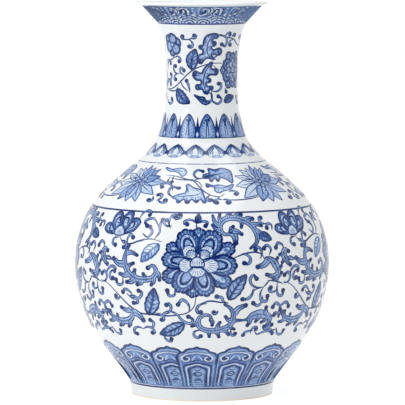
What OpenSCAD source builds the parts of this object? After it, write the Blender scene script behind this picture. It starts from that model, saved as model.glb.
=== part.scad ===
// Baluster vase with a trumpet mouth, in glazed porcelain.
// Ware of this size is thrown in sections, which are joined leather-hard with
// slip and fired as one. Each section is its own solid, and every luted seam
// has a step, half a wall deep, that locks it to the next section.
// Origin: centre of the circle that the foot rests on, +Z up, millimetres.

/* [Overall] */
// Height from the resting face to the top of the lip
height = 310; // [290:1:330]
// Diameter across the lip
mouth_d = 104; // [96:1:112]
// Diameter of the outline's corner at the neck; the smoothed neck is 0.2 wider
neck_d = 55.6; // [50:0.2:62]
// Height of the narrowest point of the neck
neck_z = 243; // [236:1:250]
// Diameter of the outline's corner at the belly; the smoothed belly is 0.6 narrower
belly_d = 201.4; // [190:0.2:212]
// Height of the widest point of the body
belly_z = 101; // [94:1:108]

/* [Foot] */
// Diameter of the foot where the body rises from it
foot_d = 114.6; // [108:0.2:120]
// Height of the foot's upright wall
foot_h = 12; // [11:0.5:14]
// Diameter of the recess under the base
recess_d = 96; // [88:1:98]
// Height of the base's underside above the table
recess_h = 7; // [6:0.5:8]
// Bevel on the edges of the resting face
edge_bevel = 1.6; // [1:0.1:2]

/* [Wall] */
// Thickness of the body and neck walls
wall_t = 5; // [4:0.1:6]
// Thickness of the lip
lip_t = 1.8; // [1.4:0.1:2.6]
// Height below the lip over which the wall thins
lip_taper = 40; // [25:1:60]
// Angle of the mouth's outer edge above the level
lip_angle = 20; // [12:1:30]

/* [Seams] */
// Height of the seam between the lower body and the belly
lower_seam_z = 58; // [50:1:66]
// Height of the seam between the belly and the shoulder
shoulder_seam_z = 126; // [116:1:136]
// Height of the seam where the neck stands on the shoulder
neck_seam_z = 200; // [192:1:206]
// Height of the seam between the neck and the flared mouth
mouth_seam_z = 277; // [268:1:284]
// Width of the step that locks two sections, along the wall
step_w = 3; // [2:0.5:4]
// Width of the bead of slip wiped along the inside of a seam
bead_w = 10; // [7:0.5:12]
// Thickness of the bead of slip at its middle
bead_t = 1.4; // [1:0.1:2]

/* [Hidden] */
$fn = 96;
SAMPLES = 8;       // straight facets for each corner of the outline
LIP_STEPS = 12;    // facets round the lip

lip_r = lip_t / 2;
lip_centre = [mouth_d / 2 - lip_r, height - lip_r];
lip_edge = lip_centre + lip_r * [sin(lip_angle), -cos(lip_angle)];
foot_corner = [foot_d / 2, foot_h];
belly_corner = [belly_d / 2, belly_z];
neck_corner = [neck_d / 2, neck_z];
recess_r = recess_d / 2;
floor_r = foot_d / 2 - wall_t - 1;

// Each stretch of the outline is given by shares of its width and its height
BODY_CURVE = [[0, 0], [0.075, 0.068], [0.345, 0.213], [0.575, 0.36], [0.752, 0.51], [0.885, 0.67],
              [0.967, 0.845]];
SHOULDER_CURVE = [[0, 0], [0.009, 0.1], [0.066, 0.235], [0.204, 0.366], [0.376, 0.455],
                  [0.572, 0.541], [0.764, 0.622], [0.862, 0.678], [0.909, 0.725], [0.947, 0.79],
                  [0.989, 0.885]];
MOUTH_CURVE = [[0, 0], [0.004, 0.29], [0.062, 0.525], [0.213, 0.71], [0.39, 0.843], [0.55, 0.918],
               [0.7, 0.961], [0.85, 0.986], [1, 1]];

// The corners of a stretch between two named corners of the outline
function stretch(from, to, shares) =
    [for (s = shares) [from.x + (to.x - from.x) * s.x, from.y + (to.y - from.y) * s.y]];

CORNERS = concat([[foot_d / 2 - edge_bevel, 0], [foot_d / 2 - edge_bevel / 2, foot_h * 0.4]],
                 stretch(foot_corner, belly_corner, BODY_CURVE),
                 stretch(belly_corner, neck_corner, SHOULDER_CURVE),
                 stretch(neck_corner, lip_edge, MOUTH_CURVE));
LAST_CORNER = len(CORNERS) - 1;

// Corner i, continued in a straight line past both ends so that the curve reaches them
function corner(i) =
    i < 0 ? 2 * CORNERS[0] - CORNERS[1]
    : i > LAST_CORNER ? 2 * CORNERS[LAST_CORNER] - CORNERS[LAST_CORNER - 1]
    : CORNERS[i];

// Point of the smooth outline, a cubic B-spline, at share u from corner i to the next
function smoothed(i, u) =
    (corner(i - 1) * (1 - u) ^ 3
    + corner(i) * (3 * u ^ 3 - 6 * u ^ 2 + 4)
    + corner(i + 1) * (-3 * u ^ 3 + 3 * u ^ 2 + 3 * u + 1)
    + corner(i + 2) * u ^ 3) / 6;

// The outside of the vase from the resting face to the lip
OUTSIDE = concat(
    [for (i = [0:LAST_CORNER - 1]) for (k = [0:SAMPLES - 1]) smoothed(i, k / SAMPLES)],
    [lip_edge]);
LAST = len(OUTSIDE) - 1;

// Outward normal of the outline at point i
function normal(i) =
    let (along = OUTSIDE[min(i + 1, LAST)] - OUTSIDE[max(i - 1, 0)])
    i == LAST ? [sin(lip_angle), -cos(lip_angle)] : [along.y, -along.x] / norm(along);

// Wall thickness at point i: full in the body, thinning towards the lip
function wall(i) = lip_t + (wall_t - lip_t) * min(1, (lip_edge.y - OUTSIDE[i].y) / lip_taper);

// A point in the wall, share 0 being the outside and 1 the inside
function in_wall(i, share) = OUTSIDE[i] - normal(i) * wall(i) * share;

// Number of the first outline point above a height
function point_above(z) = len([for (p = OUTSIDE) if (p.y < z) 1]);

// How many outline points a width takes up from point i
function points_across(i, width) = max(1, round(width / norm(OUTSIDE[i + 1] - OUTSIDE[i])));

foot_seam = point_above(foot_h);
lower_seam = point_above(lower_seam_z);
shoulder_seam = point_above(shoulder_seam_z);
neck_seam = point_above(neck_seam_z);
mouth_seam = point_above(mouth_seam_z);

function step_end(seam) = seam + points_across(seam, step_w);

// The stepped edge at a seam, from the outside of the wall to the inside
function stepped_edge(seam) =
    concat([OUTSIDE[seam]], [for (k = [seam:step_end(seam)]) in_wall(k, 0.5)],
           [in_wall(step_end(seam), 1)]);

function reversed(points) = [for (k = [len(points) - 1:-1:0]) points[k]];

// Section of wall between two stepped seams
module wall_section(low, high) {
    rotate_extrude()
        polygon(concat(
            [for (k = [low + 1:high - 1]) OUTSIDE[k]],
            stepped_edge(high),
            [for (k = [step_end(high) - 1:-1:step_end(low) + 1]) in_wall(k, 1)],
            reversed(stepped_edge(low))));
}

// Bead of slip wiped over a seam on the inside of the wall
module seam_bead(seam) {
    reach = points_across(seam, bead_w / 2);
    first = step_end(seam) - reach;
    last = step_end(seam) + reach;
    rotate_extrude()
        polygon(concat(
            [for (k = [first:last]) in_wall(k, 1)],
            [for (k = [last - 1:-1:first + 1])
                in_wall(k, 1) - normal(k) * bead_t * sin(180 * (k - first) / (last - first))]));
}

// Turned foot with a bevelled resting face and a ledge for the base
module foot_ring() {
    ledge = (floor_r - recess_r) / 2;
    color("white") rotate_extrude()
        polygon(concat(
            [for (k = [0:foot_seam]) OUTSIDE[k]],
            [[floor_r, foot_h], [floor_r, recess_h], [recess_r - ledge, recess_h],
             [recess_r, edge_bevel], [recess_r + edge_bevel, 0]]));
}

// Round base that closes the body above the recess
module base_floor() {
    color("white") translate([0, 0, recess_h]) cylinder(r = floor_r, h = foot_h - recess_h);
}

// Body from the foot up, ending inside on the edge of the base
module lower_body() {
    inner_start = len([for (k = [0:lower_seam]) if (in_wall(k, 1).y < foot_h + edge_bevel) 1]);
    color("ghostwhite") rotate_extrude()
        polygon(concat(
            [for (k = [foot_seam:lower_seam - 1]) OUTSIDE[k]],
            stepped_edge(lower_seam),
            [for (k = [step_end(lower_seam) - 1:-1:inner_start]) in_wall(k, 1)],
            [[floor_r, foot_h]]));
}

// Widest part of the body
module belly() color("ghostwhite") wall_section(lower_seam, shoulder_seam);

// Body from the belly in to the root of the neck
module shoulder() color("ghostwhite") wall_section(shoulder_seam, neck_seam);

// Waisted neck
module neck() color("ghostwhite") wall_section(neck_seam, mouth_seam);

// Flared mouth with a rounded lip
module mouth_rim() {
    color("white") rotate_extrude()
        polygon(concat(
            [for (k = [mouth_seam + 1:LAST]) OUTSIDE[k]],
            [for (k = [1:LIP_STEPS - 1]) let (a = lip_angle - 90 + 180 * k / LIP_STEPS)
                lip_centre + lip_r * [cos(a), sin(a)]],
            [for (k = [LAST:-1:step_end(mouth_seam) + 1]) in_wall(k, 1)],
            reversed(stepped_edge(mouth_seam))));
}

// Slip wiped over the seam below the belly
module lower_seam_slip() color("lightgray") seam_bead(lower_seam);

// Slip wiped over the seam above the belly
module shoulder_seam_slip() color("lightgray") seam_bead(shoulder_seam);

// Slip wiped over the seam at the root of the neck
module neck_seam_slip() color("lightgray") seam_bead(neck_seam);

foot_ring();
base_floor();
lower_body();
belly();
shoulder();
neck();
mouth_rim();
lower_seam_slip();
shoulder_seam_slip();
neck_seam_slip();
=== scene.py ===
import bpy
import numpy as np
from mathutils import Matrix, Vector
from mathutils.geometry import delaunay_2d_cdt


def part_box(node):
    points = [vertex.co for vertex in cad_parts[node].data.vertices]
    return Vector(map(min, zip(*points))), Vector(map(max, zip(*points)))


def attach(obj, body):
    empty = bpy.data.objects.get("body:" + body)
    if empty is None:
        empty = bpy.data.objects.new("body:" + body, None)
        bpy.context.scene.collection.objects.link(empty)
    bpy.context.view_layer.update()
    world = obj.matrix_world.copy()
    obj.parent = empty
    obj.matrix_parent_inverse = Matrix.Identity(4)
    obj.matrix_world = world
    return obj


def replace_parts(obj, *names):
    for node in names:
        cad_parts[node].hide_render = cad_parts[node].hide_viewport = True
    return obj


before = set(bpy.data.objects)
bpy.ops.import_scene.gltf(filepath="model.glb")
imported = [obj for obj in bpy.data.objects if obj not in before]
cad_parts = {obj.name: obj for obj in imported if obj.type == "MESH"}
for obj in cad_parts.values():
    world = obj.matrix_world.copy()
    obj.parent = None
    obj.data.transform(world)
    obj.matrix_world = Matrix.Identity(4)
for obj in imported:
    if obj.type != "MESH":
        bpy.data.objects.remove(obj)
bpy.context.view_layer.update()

# --- The studio ---------------------------------------------------------------
# A seamless pale sheet under the vase, a tall softbox on the left, a wide one overhead,
# and a far camera a little above the mouth, looking down slightly.

MM = 0.001
studio = bpy.context.scene
studio.view_settings.view_transform = "Standard"


def linear(hex_colour):
    """An sRGB colour such as "1f3a8a" as the linear colour that shaders take."""
    channels = [int(hex_colour[i:i + 2], 16) / 255 for i in (0, 2, 4)]
    return [c / 12.92 if c <= 0.04045 else ((c + 0.055) / 1.055) ** 2.4 for c in channels] + [1.0]


def add(tree, kind, sockets=None, **settings):
    """One node in a tree, with its settings, and its inputs given a value or linked to an output."""
    made = tree.nodes.new(kind)
    for name, value in settings.items():
        setattr(made, name, value)
    for name, value in (sockets or {}).items():
        if isinstance(value, bpy.types.NodeSocket):
            tree.links.new(value, made.inputs[name])
        else:
            made.inputs[name].default_value = value
    return made


def material(name):
    """An empty node material, its tree and its output node."""
    made = bpy.data.materials.new(name)
    made.use_nodes = True
    made.node_tree.nodes.clear()
    return made, made.node_tree, add(made.node_tree, "ShaderNodeOutputMaterial")


def noise_scale(blotch):
    """Scale of a noise texture whose blotches are about this many millimetres across."""
    return 1000.0 / blotch


def mesh_object(name, verts, faces):
    """A mesh object at the origin, linked to the scene."""
    mesh = bpy.data.meshes.new(name)
    mesh.from_pydata([tuple(v) for v in verts], [], [tuple(int(i) for i in f) for f in faces])
    made = bpy.data.objects.new(name, mesh)
    studio.collection.objects.link(made)
    return made


# Translucent white acrylic lit from beneath: matt, glowing a little, with a very faint mottle
ACRYLIC_MOTTLE = 167.0
white_acrylic, tree, out = material("backlit_white_acrylic")
mottle = add(tree, "ShaderNodeTexNoise", {"Vector": add(tree, "ShaderNodeTexCoord").outputs["Object"],
                                          "Scale": noise_scale(ACRYLIC_MOTTLE), "Detail": 3.0})
acrylic_tone = add(tree, "ShaderNodeMix", {"Factor": mottle.outputs["Fac"], 6: linear("929292"),
                                         7: linear("969696")}, data_type="RGBA")
acrylic = add(tree, "ShaderNodeBsdfPrincipled", {"Base Color": acrylic_tone.outputs[2],
                                               "Roughness": 0.9, "Specular IOR Level": 0.1,
                                               "Emission Color": linear("ffffff"),
                                               "Emission Strength": 0.84})
tree.links.new(acrylic.outputs["BSDF"], out.inputs["Surface"])

FLOOR_HALF = 14.0
floor = mesh_object("floor", [(x, y, 0) for x, y in ((-1, -1), (1, -1), (1, 1), (-1, 1))], [(0, 1, 2, 3)])
for corner in floor.data.vertices:
    corner.co *= FLOOR_HALF
floor.data.materials.append(white_acrylic)

# A room that is white behind the vase and dim behind the camera, so that the front of the
# glaze mirrors little and the sides go pale
world = bpy.data.worlds.new("half_white_room")
world.use_nodes = True
sky = world.node_tree
way = add(sky, "ShaderNodeSeparateXYZ", {0: add(sky, "ShaderNodeTexCoord").outputs["Generated"]})
to_ceiling = add(sky, "ShaderNodeMapRange", {"Value": way.outputs["Z"], "From Min": 0.0, "From Max": 0.6,
                                             "To Min": 1.0, "To Max": 0.6})
to_front = add(sky, "ShaderNodeMapRange", {"Value": way.outputs["Y"], "From Min": -0.85, "From Max": -0.35,
                                           "To Min": 0.12, "To Max": 1.0})
strength = add(sky, "ShaderNodeMath", {0: to_ceiling.outputs["Result"], 1: to_front.outputs["Result"]},
               operation="MULTIPLY")
sky.links.new(strength.outputs[0], sky.nodes["Background"].inputs["Strength"])
sky.nodes["Background"].inputs["Color"].default_value = linear("ffffff")
studio.world = world


def softbox(name, place, aim, size, power, mirrored=True):
    """A rectangular area light at a place, turned to face a point, mirrored in the glaze or not."""
    lamp = bpy.data.lights.new(name, "AREA")
    lamp.shape = "RECTANGLE"
    lamp.size, lamp.size_y = size
    lamp.energy = power
    box = bpy.data.objects.new(name, lamp)
    box.location = place
    box.rotation_euler = (Vector(aim) - Vector(place)).to_track_quat("-Z", "Y").to_euler()
    box.visible_glossy = mirrored
    studio.collection.objects.link(box)


softbox("key_softbox", (-1.22, -1.02, 1.18), (0, 0, 0.15), (0.45, 1.4), 11.5)
softbox("overhead_softbox", (0, -0.25, 1.7), (0, 0, 0.1), (1.6, 1.6), 16)
softbox("crossed_polarised_fill", (-0.5, -3.2, 0.9), (0, 0, 0.15), (2.0, 1.6), 21.5, False)

# Camera: 3.1 m away and 0.4 m up, so that the outline shows almost no perspective
CAMERA_PLACE = Vector((0.0, -3.1, 0.403))
CAMERA_AIM = Vector((0.0004, 0.0, 0.1512))
camera = bpy.data.objects.new("camera", bpy.data.cameras.new("camera"))
camera.data.lens = 349.6
camera.data.sensor_width = 36
camera.location = CAMERA_PLACE
camera.rotation_euler = (CAMERA_AIM - CAMERA_PLACE).to_track_quat("-Z", "Y").to_euler()
studio.collection.objects.link(camera)
studio.camera = camera

# --- The outline --------------------------------------------------------------
# The vase is turned about one axis, so one outline gives the outside of every
# section. It has the same corners, in shares of the same sizes, as the CAD outline.

cad_high = Vector(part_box("mouth_rim")[1])
HEIGHT = cad_high.z / MM
MOUTH_R = cad_high.x / MM
FOOT_R, FOOT_H = 57.3, 12.0
BELLY_R, BELLY_Z = 100.7, 101.0
NECK_R, NECK_Z = 27.8, 243.0
EDGE_BEVEL = 1.6
WALL_T, LIP_T, LIP_TAPER = 5.0, 1.8, 40.0
LIP_ANGLE = np.radians(20)
LIP_CENTRE = np.array([MOUTH_R - LIP_T / 2, HEIGHT - LIP_T / 2])
LIP_EDGE = LIP_CENTRE + LIP_T / 2 * np.array([np.sin(LIP_ANGLE), -np.cos(LIP_ANGLE)])

BODY_CURVE = [(0, 0), (0.075, 0.068), (0.345, 0.213), (0.575, 0.36), (0.752, 0.51), (0.885, 0.67),
              (0.967, 0.845)]
SHOULDER_CURVE = [(0, 0), (0.009, 0.1), (0.066, 0.235), (0.204, 0.366), (0.376, 0.455),
                  (0.572, 0.541), (0.764, 0.622), (0.862, 0.678), (0.909, 0.725), (0.947, 0.79),
                  (0.989, 0.885)]
MOUTH_CURVE = [(0, 0), (0.004, 0.29), (0.062, 0.525), (0.213, 0.71), (0.39, 0.843), (0.55, 0.918),
               (0.7, 0.961), (0.85, 0.986), (1, 1)]


def stretch(start, end, shares):
    """Corners of the outline between two named corners."""
    start, end = np.array(start), np.array(end)
    return [start + (end - start) * np.array(share) for share in shares]


def spline(corners, samples):
    """A smooth cubic B-spline through the run of corners, reaching both ends."""
    c = np.array(corners)
    c = np.vstack([2 * c[0] - c[1], c, 2 * c[-1] - c[-2]])
    u = np.linspace(0, 1, samples, endpoint=False)[:, None]
    runs = [(c[i - 1] * (1 - u) ** 3 + c[i] * (3 * u ** 3 - 6 * u ** 2 + 4)
             + c[i + 1] * (-3 * u ** 3 + 3 * u ** 2 + 3 * u + 1) + c[i + 2] * u ** 3) / 6
            for i in range(1, len(c) - 2)]
    return np.vstack(runs + [c[-2]])


outside = spline([np.array([FOOT_R - EDGE_BEVEL, 0]), np.array([FOOT_R - EDGE_BEVEL / 2, FOOT_H * 0.4])]
                 + stretch((FOOT_R, FOOT_H), (BELLY_R, BELLY_Z), BODY_CURVE)
                 + stretch((BELLY_R, BELLY_Z), (NECK_R, NECK_Z), SHOULDER_CURVE)
                 + stretch((NECK_R, NECK_Z), LIP_EDGE, MOUTH_CURVE), 8)
along = np.gradient(outside, axis=0)
along[-1] = [np.cos(LIP_ANGLE), np.sin(LIP_ANGLE)]
normals = np.stack([along[:, 1], -along[:, 0]], 1) / np.hypot(*along.T)[:, None]
walls = LIP_T + (WALL_T - LIP_T) * np.minimum(1, (LIP_EDGE[1] - outside[:, 1]) / LIP_TAPER)
inside = outside - normals * walls[:, None]
halfway = outside - normals * walls[:, None] / 2
run = np.concatenate([[0], np.cumsum(np.hypot(*np.diff(outside, axis=0).T))])


def at_height(z):
    """Number of the first outline point above a height."""
    return int(np.searchsorted(outside[:, 1], z))


def outline_object(name, points, closed):
    """A curve through points given as radius and height in millimetres."""
    curve = bpy.data.curves.new(name, "CURVE")
    curve.dimensions = "3D"
    line = curve.splines.new("POLY")
    line.points.add(len(points) - 1)
    line.points.foreach_set("co", [v for r, z in points for v in (r * MM, 0.0, z * MM, 1.0)])
    line.use_cyclic_u = closed
    made = bpy.data.objects.new(name, curve)
    studio.collection.objects.link(made)
    return made


# --- Thrown sections ----------------------------------------------------------
# Porcelain sections turned on the wheel: foot, base, lower body, belly, shoulder, neck
# and mouth. They are luted with slip at stepped seams, dipped in clear glaze and fired.

TURN_STEPS = 288
CORNER_ANGLE = 0.5


def turning_tree():
    """Geometry nodes that turn a section's closed outline about the vase's axis."""
    made = bpy.data.node_groups.new("turned_on_the_wheel", "GeometryNodeTree")
    face = made.interface
    face.new_socket("Section outline", in_out="INPUT", socket_type="NodeSocketObject")
    face.new_socket("Outline points", in_out="INPUT", socket_type="NodeSocketInt")
    face.new_socket("Steps round", in_out="INPUT", socket_type="NodeSocketInt")
    face.new_socket("Corner angle", in_out="INPUT", socket_type="NodeSocketFloat")
    face.new_socket("Finish", in_out="INPUT", socket_type="NodeSocketMaterial")
    face.new_socket("Geometry", in_out="OUTPUT", socket_type="NodeSocketGeometry")
    given = add(made, "NodeGroupInput").outputs
    outline = add(made, "GeometryNodeObjectInfo", {"Object": given["Section outline"]})
    columns = add(made, "ShaderNodeMath", {0: given["Steps round"], 1: 1.0})
    rows = add(made, "ShaderNodeMath", {0: given["Outline points"], 1: 1.0})
    sheet = add(made, "GeometryNodeMeshGrid", {"Size X": 1.0, "Size Y": 1.0,
                                               "Vertices X": columns.outputs[0],
                                               "Vertices Y": rows.outputs[0]})
    place = add(made, "ShaderNodeSeparateXYZ", {0: add(made, "GeometryNodeInputPosition").outputs[0]})
    share = add(made, "ShaderNodeMath", {0: place.outputs["Y"], 1: 0.5})
    row = add(made, "ShaderNodeMath", {0: share.outputs[0], 1: given["Outline points"]},
              operation="MULTIPLY")
    row_round = add(made, "ShaderNodeMath", {0: row.outputs[0]}, operation="ROUND")
    row_in_loop = add(made, "ShaderNodeMath", {0: row_round.outputs[0], 1: given["Outline points"]},
                      operation="FLOORED_MODULO")
    point = add(made, "GeometryNodeSampleIndex", {"Geometry": outline.outputs["Geometry"],
                                                  "Value": add(made,
                                                      "GeometryNodeInputPosition").outputs[0],
                                                  "Index": row_in_loop.outputs[0]},
                data_type="FLOAT_VECTOR", domain="POINT")
    on_outline = add(made, "ShaderNodeSeparateXYZ", {0: point.outputs["Value"]})
    angle = add(made, "ShaderNodeMath", {0: place.outputs["X"], 1: 2 * np.pi}, operation="MULTIPLY")
    sine = add(made, "ShaderNodeMath", {0: angle.outputs[0]}, operation="SINE")
    cosine = add(made, "ShaderNodeMath", {0: angle.outputs[0]}, operation="COSINE")
    forward = add(made, "ShaderNodeMath", {0: on_outline.outputs["X"], 1: -1.0}, operation="MULTIPLY")
    x = add(made, "ShaderNodeMath", {0: on_outline.outputs["X"], 1: sine.outputs[0]}, operation="MULTIPLY")
    y = add(made, "ShaderNodeMath", {0: forward.outputs[0], 1: cosine.outputs[0]}, operation="MULTIPLY")
    wrapped = add(made, "ShaderNodeCombineXYZ", {0: x.outputs[0], 1: y.outputs[0],
                                                 2: on_outline.outputs["Z"]})
    turned = add(made, "GeometryNodeSetPosition", {"Geometry": sheet.outputs["Mesh"],
                                                   "Position": wrapped.outputs[0]})
    closed = add(made, "GeometryNodeMergeByDistance", {"Geometry": turned.outputs[0], "Distance": 1e-6})
    smooth = add(made, "GeometryNodeSetShadeSmooth", {"Geometry": closed.outputs[0], "Shade Smooth": True})
    edge = add(made, "GeometryNodeInputMeshEdgeAngle").outputs["Unsigned Angle"]
    corner = add(made, "ShaderNodeMath", {0: edge, 1: given["Corner angle"]}, operation="GREATER_THAN")
    crisp = add(made, "GeometryNodeSetShadeSmooth", {"Geometry": smooth.outputs[0],
                                                     "Selection": corner.outputs[0],
                                                     "Shade Smooth": False}, domain="EDGE")
    real = add(made, "GeometryNodeRealizeInstances", {"Geometry": crisp.outputs[0]})
    finished = add(made, "GeometryNodeSetMaterial", {"Geometry": real.outputs[0],
                                                     "Material": given["Finish"]})
    add(made, "NodeGroupOutput", {"Geometry": finished.outputs[0]})
    return made


def grown(name, tree, inputs, start):
    """A plain mesh piece made from a start object by a geometry tree with named inputs."""
    modifier = start.modifiers.new("grow", "NODES")
    modifier.node_group = tree
    for socket in tree.interface.items_tree:
        if socket.in_out == "INPUT" and socket.name in inputs:
            modifier[socket.identifier] = inputs[socket.name]
    depsgraph = bpy.context.evaluated_depsgraph_get()
    mesh = bpy.data.meshes.new_from_object(start.evaluated_get(depsgraph), preserve_all_data_layers=True,
                                           depsgraph=depsgraph)
    mesh.name = name
    bpy.data.objects.remove(start)
    made = bpy.data.objects.new(name, mesh)
    studio.collection.objects.link(made)
    return made


wheel = turning_tree()

# Clear feldspathic glaze over fine white porcelain: cool white, wet-looking, with the
# faint ripple that a dipped glaze keeps
GLAZE_CLOUD, GLAZE_RIPPLE = 45.5, 22.2
clear_glaze, tree, out = material("clear_glaze_on_porcelain")
where = add(tree, "ShaderNodeTexCoord").outputs["Object"]
cloud = add(tree, "ShaderNodeTexNoise", {"Vector": where, "Scale": noise_scale(GLAZE_CLOUD),
                                         "Detail": 4.0})
body_white = add(tree, "ShaderNodeMix", {"Factor": cloud.outputs["Fac"], 6: linear("d6dadc"),
                                         7: linear("dfe3e5")}, data_type="RGBA")
ripple = add(tree, "ShaderNodeTexNoise", {"Vector": where, "Scale": noise_scale(GLAZE_RIPPLE),
                                          "Detail": 2.0})
dip = add(tree, "ShaderNodeBump", {"Height": ripple.outputs["Fac"], "Strength": 0.02, "Distance": 0.002})
gloss = add(tree, "ShaderNodeMapRange", {"Value": cloud.outputs["Fac"], "To Min": 0.06, "To Max": 0.11})
glaze = add(tree, "ShaderNodeBsdfPrincipled", {"Base Color": body_white.outputs[2],
                                               "Roughness": gloss.outputs["Result"], "IOR": 1.45,
                                               "Normal": dip.outputs["Normal"]})
tree.links.new(glaze.outputs["BSDF"], out.inputs["Surface"])

STEP_W = 3.0
FLOOR_R = FOOT_R - WALL_T - 1.0
RECESS_R, RECESS_H = 48.0, 7.0
BARE_PROUD = 0.05  # the unglazed foot edge stands this far out from under the glaze


def section(name, outline, finish):
    """A turned piece from its closed outline, in millimetres, riding on the vase."""
    guide = outline_object(name + "_outline", outline, True)
    piece = grown(name, wheel, {"Section outline": guide, "Outline points": len(outline),
                                "Steps round": TURN_STEPS, "Corner angle": CORNER_ANGLE, "Finish": finish},
                  mesh_object(name + "_start", [], []))
    bpy.data.objects.remove(guide)
    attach(piece, "root")
    return piece


def step_end(seam):
    """Outline point where the locking step of a seam ends."""
    spacing = np.hypot(*(outside[seam + 1] - outside[seam]))
    return seam + max(1, round(STEP_W / spacing))


def stepped_edge(seam):
    """A seam's edge from the outside of the wall to the inside."""
    end = step_end(seam)
    return [outside[seam], *halfway[seam:end + 1], inside[end]]


def wall_between(low, high):
    """Closed outline of a section of wall between two stepped seams."""
    return [*outside[low + 1:high], *stepped_edge(high), *inside[step_end(low) + 1:step_end(high)][::-1],
            *stepped_edge(low)[::-1]]


foot_seam, low_seam, shoulder_seam, neck_seam, mouth_seam = (at_height(z) for z in (12, 58, 126, 200, 277))
ledge = (FLOOR_R - RECESS_R) / 2
inner_start = int(np.searchsorted(inside[:low_seam, 1], FOOT_H + EDGE_BEVEL))
lip_turn = LIP_ANGLE - np.pi / 2 + np.pi * np.arange(1, 12)[:, None] / 12
sections = {
    "foot_ring": [outside[0] + (0, BARE_PROUD), *outside[1:foot_seam + 1], (FLOOR_R, FOOT_H),
                  (FLOOR_R, RECESS_H),
                  (RECESS_R - ledge, RECESS_H), (RECESS_R, EDGE_BEVEL),
                  (RECESS_R + EDGE_BEVEL, BARE_PROUD)],
    "base_floor": [(0, RECESS_H), (FLOOR_R, RECESS_H), (FLOOR_R, FOOT_H), (0, FOOT_H)],
    "lower_body": [*outside[foot_seam:low_seam], *stepped_edge(low_seam),
                   *inside[inner_start:step_end(low_seam)][::-1], (FLOOR_R, FOOT_H)],
    "belly": wall_between(low_seam, shoulder_seam),
    "shoulder": wall_between(shoulder_seam, neck_seam),
    "neck": wall_between(neck_seam, mouth_seam),
    "mouth_rim": [*outside[mouth_seam + 1:],
                  *(LIP_CENTRE + LIP_T / 2 * np.hstack([np.cos(lip_turn), np.sin(lip_turn)])),
                  *inside[step_end(mouth_seam) + 1:][::-1], *stepped_edge(mouth_seam)[::-1]],
}
for name, outline in sections.items():
    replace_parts(section(name + "_glazed", outline, clear_glaze), name)

# --- Slip beads ---------------------------------------------------------------
# Soft slip of the same porcelain, wiped with a finger over three seams inside the
# wall. The glaze poured round the inside covers it.

BEAD_W, BEAD_T = 10.0, 1.4

# Slip smoothed by a fingertip: soft rings one above the other, satin under the glaze. A
# wave texture of scale 1 has a band every tenth of pi, in metres
FINGER_MARK = 3.5
wiped_slip, tree, out = material("wiped_porcelain_slip")
where = add(tree, "ShaderNodeTexCoord").outputs["Object"]
finger_marks = add(tree, "ShaderNodeTexWave", {"Vector": where, "Distortion": 2.5,
                                                    "Scale": np.pi / 10 * 1000.0 / FINGER_MARK},
                   bands_direction="Z")
slip_tone = add(tree, "ShaderNodeMix", {"Factor": finger_marks.outputs["Fac"], 6: linear("dfe3e4"),
                                        7: linear("ebedec")}, data_type="RGBA")
marks = add(tree, "ShaderNodeBump", {"Height": finger_marks.outputs["Fac"], "Strength": 0.25,
                                     "Distance": 0.0004})
slip = add(tree, "ShaderNodeBsdfPrincipled", {"Base Color": slip_tone.outputs[2], "Roughness": 0.22,
                                              "IOR": 1.5, "Normal": marks.outputs["Normal"]})
tree.links.new(slip.outputs["BSDF"], out.inputs["Surface"])

for name, seam in (("lower_seam_slip", low_seam), ("shoulder_seam_slip", shoulder_seam),
                   ("neck_seam_slip", neck_seam)):
    end = step_end(seam)
    reach = round(BEAD_W / 2 / np.hypot(*(outside[seam + 1] - outside[seam])))
    under = slice(end - reach, end + reach + 1)
    swell = BEAD_T * np.sin(np.linspace(0, np.pi, 2 * reach + 1))[:, None]
    over = (inside[under] - normals[under] * swell)[1:-1][::-1]
    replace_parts(section(name + "_bead", [*inside[under], *over], wiped_slip), name)

# --- Bare foot edge -----------------------------------------------------------
# The potter wipes the glaze off the ring that the vase stands on, so that it does not
# stick to the kiln shelf. The bare biscuit fires matt and slightly toasted.

BARE_UP = 1.1

# Unglazed biscuit: dry, chalky and gritty, flashed cream to tan by the kiln. The grit is
# drawn coarser than the real grain, which is well under a tenth of a millimetre
TOAST_PATCH, BISCUIT_GRIT = 16.7, 0.4
bare_biscuit, tree, out = material("bare_porcelain_biscuit")
where = add(tree, "ShaderNodeTexCoord").outputs["Object"]
toast = add(tree, "ShaderNodeTexNoise", {"Vector": where, "Scale": noise_scale(TOAST_PATCH),
                                         "Detail": 5.0})
biscuit_tone = add(tree, "ShaderNodeMix", {"Factor": toast.outputs["Fac"], 6: linear("efe9dd"),
                                           7: linear("d9c6aa")}, data_type="RGBA")
grain = add(tree, "ShaderNodeTexNoise", {"Vector": where, "Scale": noise_scale(BISCUIT_GRIT),
                                         "Detail": 2.0})
grit = add(tree, "ShaderNodeBump", {"Height": grain.outputs["Fac"], "Strength": 0.4, "Distance": 0.0002})
biscuit = add(tree, "ShaderNodeBsdfPrincipled", {"Base Color": biscuit_tone.outputs[2], "Roughness": 0.85,
                                                 "Normal": grit.outputs["Normal"]})
tree.links.new(biscuit.outputs["BSDF"], out.inputs["Surface"])

foot_low = FOOT_R - EDGE_BEVEL
section("bare_foot_edge", [(RECESS_R + EDGE_BEVEL, 0.0), (foot_low, 0.0),
                           (np.interp(BARE_UP, outside[:9, 1], outside[:9, 0]) + BARE_PROUD, BARE_UP),
                           (foot_low - 1, BARE_UP), (RECESS_R + EDGE_BEVEL, BARE_UP),
                           (RECESS_R + EDGE_BEVEL * 0.3 - BARE_PROUD, BARE_UP)],
        bare_biscuit)

# --- Cobalt brushwork ---------------------------------------------------------
# Ground cobalt in water, brushed on the raw porcelain and sealed under the glaze. Each
# band is laid out flat in millimetres, across and up, then wrapped round the vase.

WASH_LIFT, LAYER_LIFT, LINE_LIFT, STACK_LIFT, SUNK = 0.03, 0.02, 0.01, 0.0002, -0.1
WASH_STEP = 2.4


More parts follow.
